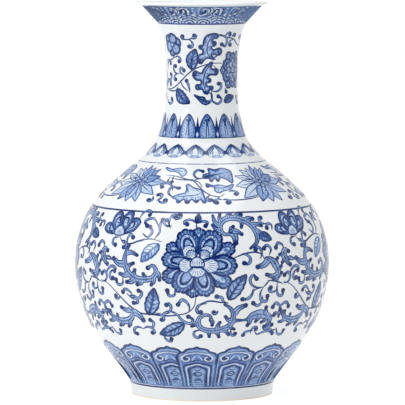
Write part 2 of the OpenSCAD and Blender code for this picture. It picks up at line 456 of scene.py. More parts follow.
def smooth(points, spacing=1.2, closed=False, ends=()):
    """A smooth line through a few points, as points a set distance apart."""
    p = np.array(points, float)
    if closed:
        p = np.vstack([p[-2:], p, p[:2]])
    t = np.concatenate([[0], np.cumsum(np.hypot(*np.diff(p, axis=0).T) + 1e-6)])
    slope = np.gradient(p, t, axis=0) if len(p) > 2 else np.tile((p[1] - p[0]) / t[1], (2, 1))
    low, high = (t[2], t[-2]) if closed else (t[0], t[-1])
    at = np.linspace(low, high, max(2, round((high - low) / spacing)) + 1)
    at = np.unique(np.clip([*at, *(low + e for e in ends), *(high - e for e in ends)], low, high))
    i = np.clip(np.searchsorted(t, at, "right") - 1, 0, len(t) - 2)
    gap = (t[i + 1] - t[i])[:, None]
    u = (at - t[i])[:, None] / gap
    return ((1 + 2 * u) * (1 - u) ** 2 * p[i] + u * (1 - u) ** 2 * gap * slope[i]
            + u ** 2 * (3 - 2 * u) * p[i + 1] + u ** 2 * (u - 1) * gap * slope[i + 1])


def spread(values, shares):
    """Values given at equal steps along a line, read at shares of its length."""
    values = np.atleast_1d(values)
    return np.interp(shares, np.linspace(0, 1, len(values)), values) if len(values) > 1 else \
        np.full(len(shares), values[0])


def encloses(ring, points):
    """Which points are inside a closed ring."""
    a, b = ring[:, None], np.roll(ring, -1, 0)[:, None]
    rise = np.where(b[..., 1] == a[..., 1], 1e-9, b[..., 1] - a[..., 1])
    crossing = a[..., 0] + (points[:, 1] - a[..., 1]) * (b[..., 0] - a[..., 0]) / rise
    spans = (a[..., 1] > points[:, 1]) != (b[..., 1] > points[:, 1])
    return (spans & (points[:, 0] < crossing)).sum(0) % 2 == 1


class Brushwork:
    """Closed films of paint, laid out flat in millimetres. Cobalt runs from 0, bare, to 1, darkest."""

    def __init__(self):
        self.verts, self.faces, self.cobalt, self.count = [], [], [], 0

    def film(self, verts, faces, cobalt):
        start = sum(len(v) for v in self.verts)
        self.verts.append(verts)
        self.cobalt.append(cobalt)
        self.faces += [tuple(int(i) + start for i in face) for face in faces]
        self.count += 1

    def lift(self, layer, extra=0.0):
        return WASH_LIFT + LAYER_LIFT * layer + extra + STACK_LIFT * (self.count % 16)

    def brush(self, points, width, cobalt=0.8, layer=0, closed=False, spacing=1.2, over=0.0):
        """One brush stroke through points, with widths and strengths spread along it."""
        width = np.atleast_1d(width)
        ends = () if closed else sorted(k * width.max() / 2 for k in (0.12, 0.45, 1.0))
        line = smooth(points, spacing, closed, ends if width.max() > 0.9 else ())
        run_on = np.concatenate([[0], np.cumsum(np.hypot(*np.diff(line, axis=0).T))])
        shares = run_on / run_on[-1]
        half = spread(width, shares) / 2
        if not closed:
            reach = np.minimum(run_on, run_on[-1] - run_on) / np.maximum(half, 0.05)
            half = np.maximum(half * np.sqrt(np.clip(1 - (1 - np.minimum(reach, 1)) ** 2, 0, 1)), 0.03)
        ahead = np.gradient(line, axis=0)
        if closed:
            ahead[0] = ahead[-1] = line[1] - line[-2]
        across = np.stack([-ahead[:, 1], ahead[:, 0]], 1) / np.hypot(*ahead.T)[:, None] * half[:, None]
        n, top = len(line), self.lift(layer, LINE_LIFT + over)
        verts = np.vstack([np.c_[line + across, np.full(n, top)], np.c_[line - across, np.full(n, top)],
                           np.c_[line, np.full(n, SUNK)]])
        i = np.arange(n - 1)
        left, right, under = i, i + n, i + 2 * n
        faces = [*np.stack([left, right, right + 1, left + 1], 1),
                 *np.stack([left + 1, under + 1, under, left], 1),
                 *np.stack([right, under, under + 1, right + 1], 1)]
        if not closed:
            faces += [(0, 2 * n, n), (n - 1, 2 * n - 1, 3 * n - 1)]
        self.film(verts, faces, np.tile(spread(cobalt, shares), 3))

    def wash(self, outline, cobalt=0.3, layer=0):
        """A pool of thin colour inside an outline, with one strength or (edge, middle)."""
        ring = np.array(outline, float)
        edge, middle = (cobalt, cobalt) if np.isscalar(cobalt) else cobalt
        low, high = ring.min(0), ring.max(0)
        grid = np.stack(np.meshgrid(np.arange(low[0], high[0], WASH_STEP),
                                    np.arange(low[1], high[1], WASH_STEP * 0.87)), -1)
        grid[1::2, :, 0] += WASH_STEP / 2
        grid = grid.reshape(-1, 2)
        if len(grid):
            gap = np.hypot(*(grid[:, None] - ring[None]).transpose(2, 0, 1)).min(1)
            grid = grid[(gap > WASH_STEP * 0.45) & encloses(ring, grid)]
        n = len(ring)
        flat = [Vector(v) for v in (*ring, *grid)]
        rim = [(i, (i + 1) % n) for i in range(n)]
        found = delaunay_2d_cdt(flat, rim, [], 1, 1e-5)
        spots, faces = np.array([tuple(v) for v in found[0]]), np.array(found[2])
        if not len(faces):
            return
        a, b, c = (spots[faces[:, k]] for k in range(3))
        turned = (b[:, 0] - a[:, 0]) * (c[:, 1] - a[:, 1]) < (b[:, 1] - a[:, 1]) * (c[:, 0] - a[:, 0])
        faces[turned] = faces[turned][:, ::-1]
        sides = {(f[i], f[i - 2]) for f in faces.tolist() for i in range(3)}
        m = len(spots)
        walls_round = [(b, a, a + m, b + m) for a, b in sides if (b, a) not in sides]
        verts = np.vstack([np.c_[spots, np.full(m, self.lift(layer))], np.c_[spots, np.full(m, SUNK)]])
        tone = np.array([edge if min(ids, default=n) < n else middle for ids in found[3]])
        self.film(verts, [*faces, *(faces[:, ::-1] + m), *walls_round], np.tile(tone, 2))

    def outlined(self, outline, cobalt=0.3, line=0.8, width=0.7, layer=0):
        """A washed shape with a brushed outline."""
        self.wash(outline, cobalt, layer)
        self.brush(outline, width, line, layer, closed=True, spacing=1.3)

    def flat_object(self, name):
        """The painting as a mesh in metres, with its strength as an attribute of each point."""
        made = mesh_object(name, np.vstack(self.verts) * MM, self.faces)
        strength = made.data.attributes.new("cobalt", "FLOAT", "POINT")
        strength.data.foreach_set("value", np.concatenate(self.cobalt).astype(np.float32))
        return made


def wrapping_tree():
    """Geometry nodes that repeat a flat painting round the vase and lay it on the outline."""
    made = bpy.data.node_groups.new("wrapped_round_the_vase", "GeometryNodeTree")
    face = made.interface
    face.new_socket("Painting", in_out="INPUT", socket_type="NodeSocketGeometry")
    face.new_socket("Vase outline", in_out="INPUT", socket_type="NodeSocketObject")
    face.new_socket("Repeats", in_out="INPUT", socket_type="NodeSocketInt")
    face.new_socket("Period", in_out="INPUT", socket_type="NodeSocketFloat")
    face.new_socket("Radius", in_out="INPUT", socket_type="NodeSocketFloat")
    face.new_socket("Start up the outline", in_out="INPUT", socket_type="NodeSocketFloat")
    face.new_socket("Finish", in_out="INPUT", socket_type="NodeSocketMaterial")
    face.new_socket("Geometry", in_out="OUTPUT", socket_type="NodeSocketGeometry")
    given = add(made, "NodeGroupInput").outputs
    profile = add(made, "GeometryNodeObjectInfo", {"Object": given["Vase outline"]})
    gap = add(made, "ShaderNodeCombineXYZ", {0: given["Period"]})
    places = add(made, "GeometryNodeMeshLine", {"Count": given["Repeats"], "Offset": gap.outputs[0]})
    copies = add(made, "GeometryNodeInstanceOnPoints", {"Points": places.outputs[0],
                                                        "Instance": given["Painting"]})
    flat = add(made, "GeometryNodeRealizeInstances", {"Geometry": copies.outputs[0]})
    spot = add(made, "ShaderNodeSeparateXYZ", {0: add(made, "GeometryNodeInputPosition").outputs[0]})
    angle = add(made, "ShaderNodeMath", {0: spot.outputs["X"], 1: given["Radius"]}, operation="DIVIDE")
    up = add(made, "ShaderNodeMath", {0: spot.outputs["Y"], 1: given["Start up the outline"]})
    on = add(made, "GeometryNodeSampleCurve", {"Curves": profile.outputs["Geometry"],
                                               "Length": up.outputs[0]}, mode="LENGTH")
    at = add(made, "ShaderNodeSeparateXYZ", {0: on.outputs["Position"]})
    tangent = add(made, "ShaderNodeSeparateXYZ", {0: on.outputs["Tangent"]})
    lean = add(made, "ShaderNodeMath", {0: tangent.outputs["X"], 1: -1.0}, operation="MULTIPLY")
    sine = add(made, "ShaderNodeMath", {0: angle.outputs[0]}, operation="SINE").outputs[0]
    cosine = add(made, "ShaderNodeMath", {0: angle.outputs[0]}, operation="COSINE").outputs[0]
    facing = add(made, "ShaderNodeMath", {0: cosine, 1: -1.0}, operation="MULTIPLY").outputs[0]
    out_by = add(made, "ShaderNodeMath", {0: spot.outputs["Z"], 1: tangent.outputs["Z"]},
                 operation="MULTIPLY")
    radius = add(made, "ShaderNodeMath", {0: at.outputs["X"], 1: out_by.outputs[0]}).outputs[0]
    up_by = add(made, "ShaderNodeMath", {0: spot.outputs["Z"], 1: lean.outputs[0]}, operation="MULTIPLY")
    height = add(made, "ShaderNodeMath", {0: at.outputs["Z"], 1: up_by.outputs[0]})
    x = add(made, "ShaderNodeMath", {0: radius, 1: sine}, operation="MULTIPLY")
    y = add(made, "ShaderNodeMath", {0: radius, 1: facing}, operation="MULTIPLY")
    place = add(made, "ShaderNodeCombineXYZ", {0: x.outputs[0], 1: y.outputs[0], 2: height.outputs[0]})
    normal_x = add(made, "ShaderNodeMath", {0: tangent.outputs["Z"], 1: sine}, operation="MULTIPLY")
    normal_y = add(made, "ShaderNodeMath", {0: tangent.outputs["Z"], 1: facing}, operation="MULTIPLY")
    normal = add(made, "ShaderNodeCombineXYZ", {0: normal_x.outputs[0], 1: normal_y.outputs[0],
                                                2: lean.outputs[0]})
    kept = add(made, "GeometryNodeStoreNamedAttribute", {"Geometry": flat.outputs[0], "Name": "facing",
                                                         "Value": normal.outputs[0]},
               data_type="FLOAT_VECTOR", domain="POINT")
    wrapped = add(made, "GeometryNodeSetPosition", {"Geometry": kept.outputs[0],
                                                    "Position": place.outputs[0]})
    stored = add(made, "GeometryNodeInputNamedAttribute", {"Name": "facing"}, data_type="FLOAT_VECTOR")
    shaded = add(made, "GeometryNodeSetShadeSmooth", {"Geometry": wrapped.outputs[0],
                                                      "Shade Smooth": True})
    facing_out = add(made, "GeometryNodeSetMeshNormal", {"Mesh": shaded.outputs[0]}, mode="FREE",
                     domain="POINT")
    made.links.new(stored.outputs["Attribute"], facing_out.inputs["Custom Normal"])
    real = add(made, "GeometryNodeRealizeInstances", {"Geometry": facing_out.outputs[0]})
    finished = add(made, "GeometryNodeSetMaterial", {"Geometry": real.outputs[0],
                                                     "Material": given["Finish"]})
    add(made, "NodeGroupOutput", {"Geometry": finished.outputs[0]})
    return made


wrapping = wrapping_tree()
vase_outline = outline_object("vase_outline", outside, False)

# Cobalt under clear glaze: thin washes fire periwinkle, heaped strokes almost navy, with
# the darker grains and soft unevenness of ground ore. The glaze over it is just as wet. The
# grains are drawn coarser than the real ones, which the eye cannot part.
COBALT_POOL, COBALT_GRAIN = 6.25, 0.714
cobalt_paint, tree, out = material("cobalt_under_clear_glaze")
where = add(tree, "ShaderNodeTexCoord").outputs["Object"]
strength = add(tree, "ShaderNodeAttribute", attribute_name="cobalt").outputs["Fac"]
pooling = add(tree, "ShaderNodeTexNoise", {"Vector": where, "Scale": noise_scale(COBALT_POOL),
                                           "Detail": 3.0})
grains = add(tree, "ShaderNodeTexNoise", {"Vector": where, "Scale": noise_scale(COBALT_GRAIN),
                                          "Detail": 2.0})
uneven = add(tree, "ShaderNodeMapRange", {"Value": pooling.outputs["Fac"], "From Min": 0.3,
                                          "From Max": 0.7, "To Min": 0.78, "To Max": 1.16})
speckle = add(tree, "ShaderNodeMapRange", {"Value": grains.outputs["Fac"], "From Min": 0.35,
                                           "From Max": 0.65, "To Min": 0.9, "To Max": 1.1})
brushed = add(tree, "ShaderNodeMath", {0: strength, 1: uneven.outputs["Result"]}, operation="MULTIPLY")
settled = add(tree, "ShaderNodeMath", {0: brushed.outputs[0], 1: speckle.outputs["Result"]},
              operation="MULTIPLY")
blues = add(tree, "ShaderNodeValToRGB", {"Fac": settled.outputs[0]})
for place, colour in ((0.2, "9ab3d8"), (0.5, "5070a5"), (0.75, "284983")):
    blues.color_ramp.elements.new(place).color = linear(colour)
blues.color_ramp.elements[0].color = linear("d9e0e4")
blues.color_ramp.elements[-1].color = linear("051f59")
glossy = add(tree, "ShaderNodeBsdfPrincipled", {"Base Color": blues.outputs["Color"], "Roughness": 0.08,
                                                "IOR": 1.45})
tree.links.new(glossy.outputs["BSDF"], out.inputs["Surface"])


def painted(name, work, start, radius, repeats, period=None):
    """A flat painting repeated round the vase, starting a distance up the outline."""
    period = period or 2 * np.pi * radius / repeats
    piece = grown(name, wrapping, {"Vase outline": vase_outline, "Repeats": repeats,
                                   "Period": period * MM, "Radius": radius * MM,
                                   "Start up the outline": start * MM, "Finish": cobalt_paint},
                  work.flat_object(name + "_flat"))
    piece.data.attributes.remove(piece.data.attributes["facing"])
    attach(piece, "root")
    return piece

# --- Main scroll --------------------------------------------------------------
# The widest band: a large many-petalled lotus seen from the front, four times round,
# in a rolling scroll of acanthus leaves and curls, with a small side-view lotus between.


def turned(points, angle):
    """Points turned about the origin by an angle in degrees."""
    c, s = np.cos(np.radians(angle)), np.sin(np.radians(angle))
    return np.array(points, float) @ np.array([[c, s], [-s, c]])


def dot(work, centre, radius, cobalt=0.95, layer=1):
    """A round touch of the full brush."""
    ring = np.linspace(0, 2 * np.pi, 11)[:-1, None]
    work.wash(np.array(centre) + radius * np.hstack([np.cos(ring), np.sin(ring)]), cobalt, layer + 0.9)


def double_stroke(work, line, width, cobalt=0.88, pale=0.4, layer=1, share=(0.15, 0.8)):
    """A dark stroke with a paler one laid inside it, which leaves it outlined."""
    line, width = np.array(line), np.atleast_1d(width)
    work.brush(line, width, cobalt, layer)
    first, last = (int(round(s * (len(line) - 1))) for s in share)
    steps = np.linspace(share[0], share[1], 5)
    work.brush(line[first:last + 1], spread(width, steps) * 0.42, pale, layer, over=0.004)


def curl(work, points, width=2.7, head=1.95, cobalt=0.88, layer=1):
    """A tendril that thickens to a round dark head. Three points make a crook bent to the second's side."""
    p = np.array(points, float)
    if len(p) == 3:
        chord = p[2] - p[0]
        side = np.array([-chord[1], chord[0]])
        side = side * np.sign(side @ (p[1] - p[0]))
        p = np.array([p[0], p[0] + chord * 0.4 + side * 0.42, p[0] + chord * 0.95 + side * 0.46,
                      p[0] + chord * 1.2 + side * 0.12, p[2]])
    double_stroke(work, smooth(p, 1.3), (0.5, width * 0.7, width, width * 0.9), cobalt, 0.42, layer,
                  (0.35, 0.85))
    dot(work, p[-1], head, cobalt + 0.1, layer)


def spray(work, points, width=1.4, cobalt=0.9, layer=0):
    """A stem, drawn as one even stroke that tapers at both ends."""
    work.brush(points, (0.5, width, width, 0.6), cobalt, layer, spacing=1.6)


def leaf(work, base, tip, width, bend=0.0, pale=0.3, dark=0.72, line=0.96, layer=2):
    """A pointed leaf with toothed sides, darker at its edges, and a vein to each tooth."""
    base, tip = np.array(base, float), np.array(tip, float)
    axis = tip - base
    side = np.array([-axis[1], axis[0]]) / np.hypot(*axis)
    share = np.linspace(0, 1, 25)
    spine = base + share[:, None] * axis + (bend * np.sin(np.pi * share))[:, None] * side
    tooth = 1 + 0.2 * (share * 5 % 1)
    half = (width / 2 * np.sin(np.pi * share ** 0.8) ** 0.8 * tooth)[:, None] * side
    work.wash(np.vstack([spine, (spine + half)[-2:0:-1]]), (dark, pale), layer)
    work.wash(np.vstack([spine, (spine - half)[-2:0:-1]]), (dark - 0.1, pale - 0.1), layer)
    work.brush(np.vstack([spine + half, (spine - half)[-2:0:-1]]), 1.35, line, layer, closed=True)
    work.brush(spine[::4], (1.5, 1.2, 0.6), line, layer, over=0.003)
    for k in (5, 9, 13, 17):
        for way in (1, -1):
            vein = [spine[k], spine[k + 2] + way * half[k + 2] * 0.5,
                    spine[k + 4] + way * half[k + 4] * 0.85]
            work.brush(vein, (1.0, 0.5), line - 0.1, layer, over=0.003)


def cup_shape(root, tip, width, reach=1.0, across=1.0, scallops=0, waist=0.5):
    """The round end of a petal and its two sides, open at the root."""
    root, axis = np.array(root, float), np.array(tip, float) - root
    bend = np.linspace(-np.pi / 2, np.pi / 2, max(6 * scallops, 18) + 1)
    along = np.abs(np.cos(bend)) ** 0.5
    side = np.sin(bend) * across * (waist + (1 - waist) * np.minimum(1, along * 2))
    if scallops:
        frill = 0.93 + 0.07 * np.abs(np.sin(np.linspace(0, scallops * np.pi, len(bend)))) ** 0.7
        along, side = along * frill, side * frill
    length = np.hypot(*axis)
    return turned(np.stack([along * length * reach, side * width / 2], 1),
                  np.degrees(np.arctan2(*axis[::-1]))) + root


def petal(work, root, tip, width, layer, eyed=True):
    """A petal with a scalloped edge, a hatched rim, a pale band and a dark horseshoe for its eye."""
    bold = min(1.0, 0.35 + width / 24)
    outer = cup_shape(root, tip, width, scallops=5)
    rim = cup_shape(root, tip, width, 0.82, 0.68) if eyed else cup_shape(root, tip, width, 0.82, 0.42)
    work.wash(outer, (0.76, 0.58) if width > 11 else (0.5, 0.36), layer)
    work.brush(outer, 1.8 * bold, 0.99, layer, spacing=1.0)
    work.wash(rim, (0.32, 0.14), layer + 0.3)
    work.brush(rim, 0.8 * bold, 0.95, layer, over=0.005)
    inner = cup_shape(root, tip, width, 0.97, 0.92)
    near = cup_shape(root, tip, width, 0.84, 0.7)
    eye = cup_shape(root, tip, width, 0.66, 0.42)
    for k in range(3, 16, 2) if width > 11 else ():
        work.brush([near[k], inner[k]], (0.3, 0.6), 0.2, layer, over=0.003)
        work.brush([rim[k], rim[k] * 0.72 + eye[k] * 0.28], (0.6, 0.3), 0.75, layer, over=0.006)
    if eyed:
        work.wash(eye, (0.55, 0.32), layer + 0.6)
        work.brush(eye, np.array([0.8, 1.2, 2.3, 1.2, 0.8]) * bold, 0.98, layer, over=0.0085)


def frond(work, outline, rib, cobalt, line, layer=2, width=1.3):
    """A broad lobed leaf: a wash with an outline, a rib, and a vein towards every lobe."""
    work.outlined(smooth(outline, 1.2, closed=True)[:-1], cobalt, line, width, layer)
    rib = smooth(rib, 1.2)
    work.brush(rib, (0.6, 1.1, 0.5), line, layer, over=0.003)
    for lobe in np.array(outline, float):
        from_rib = rib[int(np.argmin(np.hypot(*(rib - lobe).T)))]
        if np.hypot(*(lobe - from_rib)) > 2.5:
            work.brush([from_rib * 0.8 + lobe * 0.2, from_rib * 0.25 + lobe * 0.75], (0.4, 0.8, 0.4),
                       line * 0.85, layer,
                       over=0.003)


def acanthus(work, spine, width, fingers, layer=2, head=2.0, finger=(4.8, 3.8, 2.8)):
    """A rolled acanthus leaf: a band with fingers, outlined as one shape, with dark knobs and veins."""
    line = smooth(spine, 1.2)
    strokes = [(line, np.array(width, float) * 1.25)]
    for *tip, plump in (f if len(f) > 2 else (*f, 1.0) for f in fingers):
        root = line[max(0, int(np.argmin(np.hypot(*(line - tip).T))) - 3)]
        axis = np.array(tip, float) - root
        side = np.array([-axis[1], axis[0]]) * 0.14
        strokes.append((smooth([root, root + axis * 0.5 + side, tip], 1.2), np.array(finger) * plump))
    for path, girth in strokes:
        work.brush(path, girth, 0.93, layer)
    for path, girth in strokes:
        work.brush(path[:-1], np.maximum(girth - 1.7, 0.3), (0.24, 0.42), layer, over=0.004)
    work.brush(line[1:-1], (0.5, 0.9, 0.6), 0.85, layer, over=0.0075)
    for path, girth in strokes[1:]:
        work.brush(path[:-1], (0.3, 0.7, 1.1), (0.7, 0.9), layer, over=0.0075)
        dot(work, path[-1], girth[-1] * 0.55, 0.97, layer)
    dot(work, line[0], head, 0.97, layer)


def core_lobe(work, root, tip, width, layer=4):
    """A pale fan at the heart of a lotus, hatched along its length."""
    edge = cup_shape(root, tip, width, scallops=5, waist=0.2)
    work.wash(edge, (0.24, 0.06), layer)
    work.brush(edge, 0.8, 0.93, layer, spacing=1.0)
    root = np.array(root, float)
    for k in range(4, len(edge) - 4, 4):
        work.brush([root * 0.6 + edge[k] * 0.4, root * 0.12 + edge[k] * 0.88], (0.3, 0.55), 0.72, layer,
                   over=0.003)


def great_lotus(work, petals, back_petals, core, heart, scale=1.0):
    """A lotus seen from the front, its petals laid from the back to the middle."""
    for root, tip, width in back_petals:
        petal(work, root, tip, width, 1, False)
    for k, (root, tip, width) in enumerate(petals):
        petal(work, root, tip, width, 2 + (k % 2))
    for k, (root, tip, width) in enumerate(core):
        core_lobe(work, root, tip, width, 4 + 0.16 * k)
    dome = np.array([(-5.0, -3.2), (-5.2, -0.8), (-3.4, 2.6), (0, 4.4), (3.4, 2.6), (5.2, -0.8),
                     (5.0, -3.2), (0, -3.8)])
    work.outlined(smooth(dome * scale + heart, 1.0, closed=True)[:-1], (0.28, 0.08), 0.95, 0.9, 5.5)
    work.brush(dome[[0, 7, 6]] * scale + heart, np.array([0.8, 1.8, 0.8]) * scale, 0.98, 5.5, over=0.004)
    for k in (-2, -1, 0, 1, 2):
        work.brush(np.array([(k * 1.5, -2.4), (k * 1.7, 1.8 - 0.3 * abs(k))]) * scale + heart, (0.4, 0.6),
                   0.72, 5.5,
                   over=0.003)


MAIN_START, MAIN_RADIUS, MAIN_REPEATS = 54.7, 95.0, 4
main_tendrils, main_acanthus, main_lotus = Brushwork(), Brushwork(), Brushwork()

# stems first, then curls, leaves and the flower over them
for stem in ([(-85, 54), (-78, 51.5), (-68, 43.5), (-58, 34.5), (-50, 29.5), (-40, 28.7), (-27, 28),
              (-18, 29), (-11, 31), (-6, 36), (-4.5, 44)],
             [(22, 73), (31, 76.5), (36, 77.5), (42, 77.5), (46, 75.5), (48, 71.5)],
             [(-4, 37), (6, 40.5), (13, 39.5), (20, 38.5)],
             [(31, 41), (35, 41), (38, 44), (39, 48), (45, 50)],
             [(50, 55.6), (57, 54.6), (64.2, 52.2)],
             [(66, 71.6), (71, 70.4), (78, 70.8)],
             [(-70, 91), (-68, 88), (-64, 84), (-57, 83.5), (-50, 86), (-40, 88), (-31, 86)],
             [(-4.2, 94), (-4.4, 101)],
             [(47, 50.5), (52, 55.5)]):
    spray(main_tendrils, stem)

for tendril in ([(-4.4, 101), (-8, 104), (-12, 104), (-14.5, 101.5), (-11.8, 100.5)],
                [(-4.4, 101), (2, 103), (4.5, 102), (2.8, 99.2)],
                [(26, 74.5), (32.5, 76.5), (36.5, 72.5), (34.5, 68.8), (31.5, 69.6)],
                [(47, 50.5), (41, 50.5), (37, 53), (36, 57.5), (38.5, 60), (41, 57.2)],
                [(20, 38.5), (16, 40), (14.8, 43), (11, 44)],
                [(4, 38.5), (0, 36), (-1, 31.5)],
                [(0, 16.5), (-6.5, 14), (-6.5, 11), (-3, 9), (-1, 10.6)],
                [(-33, 28.5), (-25, 32), (-19, 29), (-16, 25), (-9, 22), (-7, 25), (-10.5, 27.6)],
                [(-30, 29), (-25, 32), (-27, 37)],
                [(-10, 31.5), (-9.5, 36), (-15, 41.5), (-18, 37.5)],
                [(-20, 50), (-20.5, 45), (-24.5, 44.5), (-25.8, 48.6)],
                [(-38, 28.6), (-33, 29), (-32, 24.4)],
                [(-69, 88), (-74, 87), (-74.5, 83), (-71.6, 81.8)],
                [(-66, 86), (-62, 84), (-63, 80.5)],
                [(-60, 83.6), (-60.5, 88), (-58, 90.8), (-55.6, 88.6)],
                [(-54, 43), (-57, 46.8), (-61, 48), (-63, 45.6)],
                [(-66, 42.6), (-68, 39.4), (-70.4, 42)],
                [(-58, 43.4), (-52, 42.6), (-50.4, 38), (-54.2, 37.4)],
                [(-60, 45), (-53, 44.8), (-48.8, 47.4)],
                [(-62, 58), (-63, 52), (-67, 51.4), (-68.8, 55)],
                [(-70, 63), (-74, 60), (-72, 56)],
                [(-49, 15.6), (-54, 14.6), (-57, 10.8)],
                [(-50, 15.6), (-45, 15.6), (-42, 12.4)],
                [(-46, 17.5), (-40.5, 18), (-39.2, 22), (-41.8, 23.8)],
                [(52, 74.6), (54, 80), (50.6, 82.6), (48.2, 80.4)],
                [(66, 78.5), (65, 82.6), (61, 83.8), (58.8, 80.4)],
                [(44, 72), (44, 80), (41, 79.6)],
                [(59, 53.5), (59, 47), (60.6, 43.4), (64.4, 43), (64.8, 46.8)],
                [(59.4, 48.4), (56, 46.6), (53.2, 49.6)],
                [(64, 52.4), (69.6, 54), (71, 58), (68.6, 61), (65.4, 58.8)],
                [(70.6, 57), (74.6, 59.4), (79, 61.6)],
                [(46.5, 44), (46.5, 38.4), (43, 35.8), (39.4, 38)],
                [(38.6, 50), (37.4, 44.4), (34.4, 41.6), (30.6, 41.4)],
                [(77, 70.6), (71, 72.6), (67.6, 69), (71.2, 66.6)],
                [(43, 14.6), (38.6, 14.2), (35.4, 12.6), (34.8, 10.8)],
                [(41, 11.6), (42.6, 15.4), (45.4, 15.6)],
                [(47, 51), (44.6, 45), (46, 40), (50.4, 39), (51, 43)],
                [(65, 28), (63, 35), (59, 37), (57, 33.8)],
                [(63, 27), (65, 35), (70, 37), (72.6, 33.4)],
                [(64, 24), (62, 29), (59.6, 27)],
                [(65, 24), (66, 29), (69.2, 28)],
                [(66, 14.6), (62, 15.4), (59.6, 18.6)],
                [(65, 16), (69, 9.8), (74, 9.6), (74.6, 12.6)],
                [(44, 14.6), (47, 11), (53, 12.8), (58, 13.4), (63, 10.6)],
                [(56, 25), (57.4, 20.4), (52.4, 17.6)],
                [(58, 94), (58.4, 99), (55, 99.6), (53.6, 96.4)],
                [(55, 100), (52.4, 101), (50.4, 105)],
                [(-53.6, 103.4), (-49, 109.4), (-45, 107.6)],
                [(-37.6, 87.6), (-33.4, 94), (-34, 99), (-32.6, 104)],
                [(-25, 97), (-24, 103), (-21, 105.6)],
                [(-24, 99), (-29, 100.6), (-29, 103.6)],
                [(-26, 108.4), (-22, 106), (-18.6, 109)],
                [(-30, 16), (-29, 10), (-26, 7.6)],
                [(12, 33), (14, 30.5), (9, 31.2)],
                [(24, 17), (22.4, 12.6), (27.4, 12.4)],
                [(-34, 97), (-41, 104.8), (-47.6, 101.6), (-45, 98.4)],
                [(-48, 92.4), (-43, 89.4), (-39.6, 93.4), (-42, 97.6)]):
    curl(main_tendrils, tendril)

leaf(main_acanthus, (20, 41.5), (33, 60.6), 9.6, 1.0)
leaf(main_acanthus, (-14, 21.5), (-35.5, 11.6), 9.2, 1.2)
leaf(main_acanthus, (-42.4, 28.4), (-36, 50), 10, -1.2)
# This leaf's blues are drawn pale and washed out: a painted highlight, the key softbox's reflection in the
# glaze put into the cobalt's own colour, in every repeat round the band
leaf(main_acanthus, (-33, 84), (-46.5, 70), 8.6, -1.0, 0.14, 0.36, 0.66)
leaf(main_acanthus, (45.5, 91.5), (56, 87), 6.5, 0, 0.5, 0.85)
leaf(main_acanthus, (-3.6, 101.5), (-2.6, 109.2), 4.4, 0, 0.5, 0.8)

acanthus(main_acanthus, [(22.5, 94.5), (20, 92.2), (16.5, 93), (14.5, 96), (14.5, 100), (17, 103.5),
                         (22, 105.5),
                       (30, 105), (36, 102.5), (41, 98), (43.5, 92), (43, 86), (36, 80)],
         (2.0, 4.0, 4.4, 4.0, 1.6),
         [(9, 107.5), (8.5, 99.8), (15, 109), (24, 109.6), (33, 108.6, 1.3), (42.5, 104.5, 1.3),
          (49, 98.5, 1.1), (48.5, 91),
          (25, 98.5), (31.5, 97.8), (31, 92.2, 1.15), (25.6, 85.4, 1.5)])
acanthus(main_acanthus, [(7, 25), (6.5, 28), (2.5, 29), (-2, 26.5), (-3, 22), (-1, 18), (4, 15.8),
                         (10, 15.5),
                       (17, 17), (22, 20), (24, 25), (24, 30), (21, 35), (16, 38)],
         (1.8, 3.6, 4.2, 4.0, 1.6),
         [(-8, 19.5), (33.4, 36.4, 1.35), (31, 24, 0.9), (26, 16.5), (22, 11.5), (14, 9.8), (6, 10.2),
          (18.2, 27.5),
          (14, 22.6), (8, 20.4)])
acanthus(main_acanthus, [(-40.6, 65.6), (-37, 67.6), (-34.2, 64), (-36, 58.8), (-45, 56.4), (-53, 58),
                         (-59, 64),
                         (-61, 71), (-60, 77), (-57, 83.5)],
         (1.8, 3.8, 4.4, 4.0, 1.6),
         [(-31.6, 56.5), (-38, 52.6), (-49.5, 52.4, 1.2), (-58.6, 53.8, 1.2), (-64.8, 59.8, 1.1),
          (-71.5, 71.2, 1.35),
          (-44.4, 60.8), (-51.6, 63.4, 1.1), (-53, 68.6), (-50.2, 75)])
acanthus(main_acanthus, [(-57, 31.5), (-57.4, 26.4), (-62, 22.6), (-69, 21.4), (-76, 23.4), (-81.6, 27.6),
                         (-85, 33.6)],
         (1.2, 4.0, 5.0, 4.6, 3.6, 2.4, 1.2),
         [(-66.6, 33, 1.15), (-72.6, 26.6), (-79.4, 29.6), (-83, 20.8), (-72.6, 17.2), (-63.4, 17),
          (-48, 23.4, 1.5)],
         2, 0.9)
acanthus(main_acanthus, [(60, 57.5), (59.4, 62), (57.4, 67), (53.4, 71.4), (48, 73.4)],
         (1.8, 4.2, 5.4, 3.8, 1.4), [(42, 66.2, 1.35), (49.4, 60, 1.1), (59.4, 72.4), (62.4, 66), (55, 57),
                                     (62.6, 60.8)],
         2, 1.2)
acanthus(main_acanthus, [(70.4, 77), (66.6, 78), (65.6, 74.6), (67.4, 70.6), (70.4, 66.2)],
         (2.4, 4.0, 5.0, 3.6, 2.4), [(61.6, 74.8), (63.4, 68.6)], 2, 1.9)
acanthus(main_acanthus, [(56.4, 26.6), (52, 27.6), (46, 28.6), (40, 27.2), (35, 24.4), (30, 24)],
         (2.2, 5.6, 6.6, 5.6, 2.4, 1.0), [(51, 34, 1.1), (37, 19.6, 1.2), (43.6, 22.6), (48.8, 21.6),
                                          (53, 17.4)], 2, 1.3)


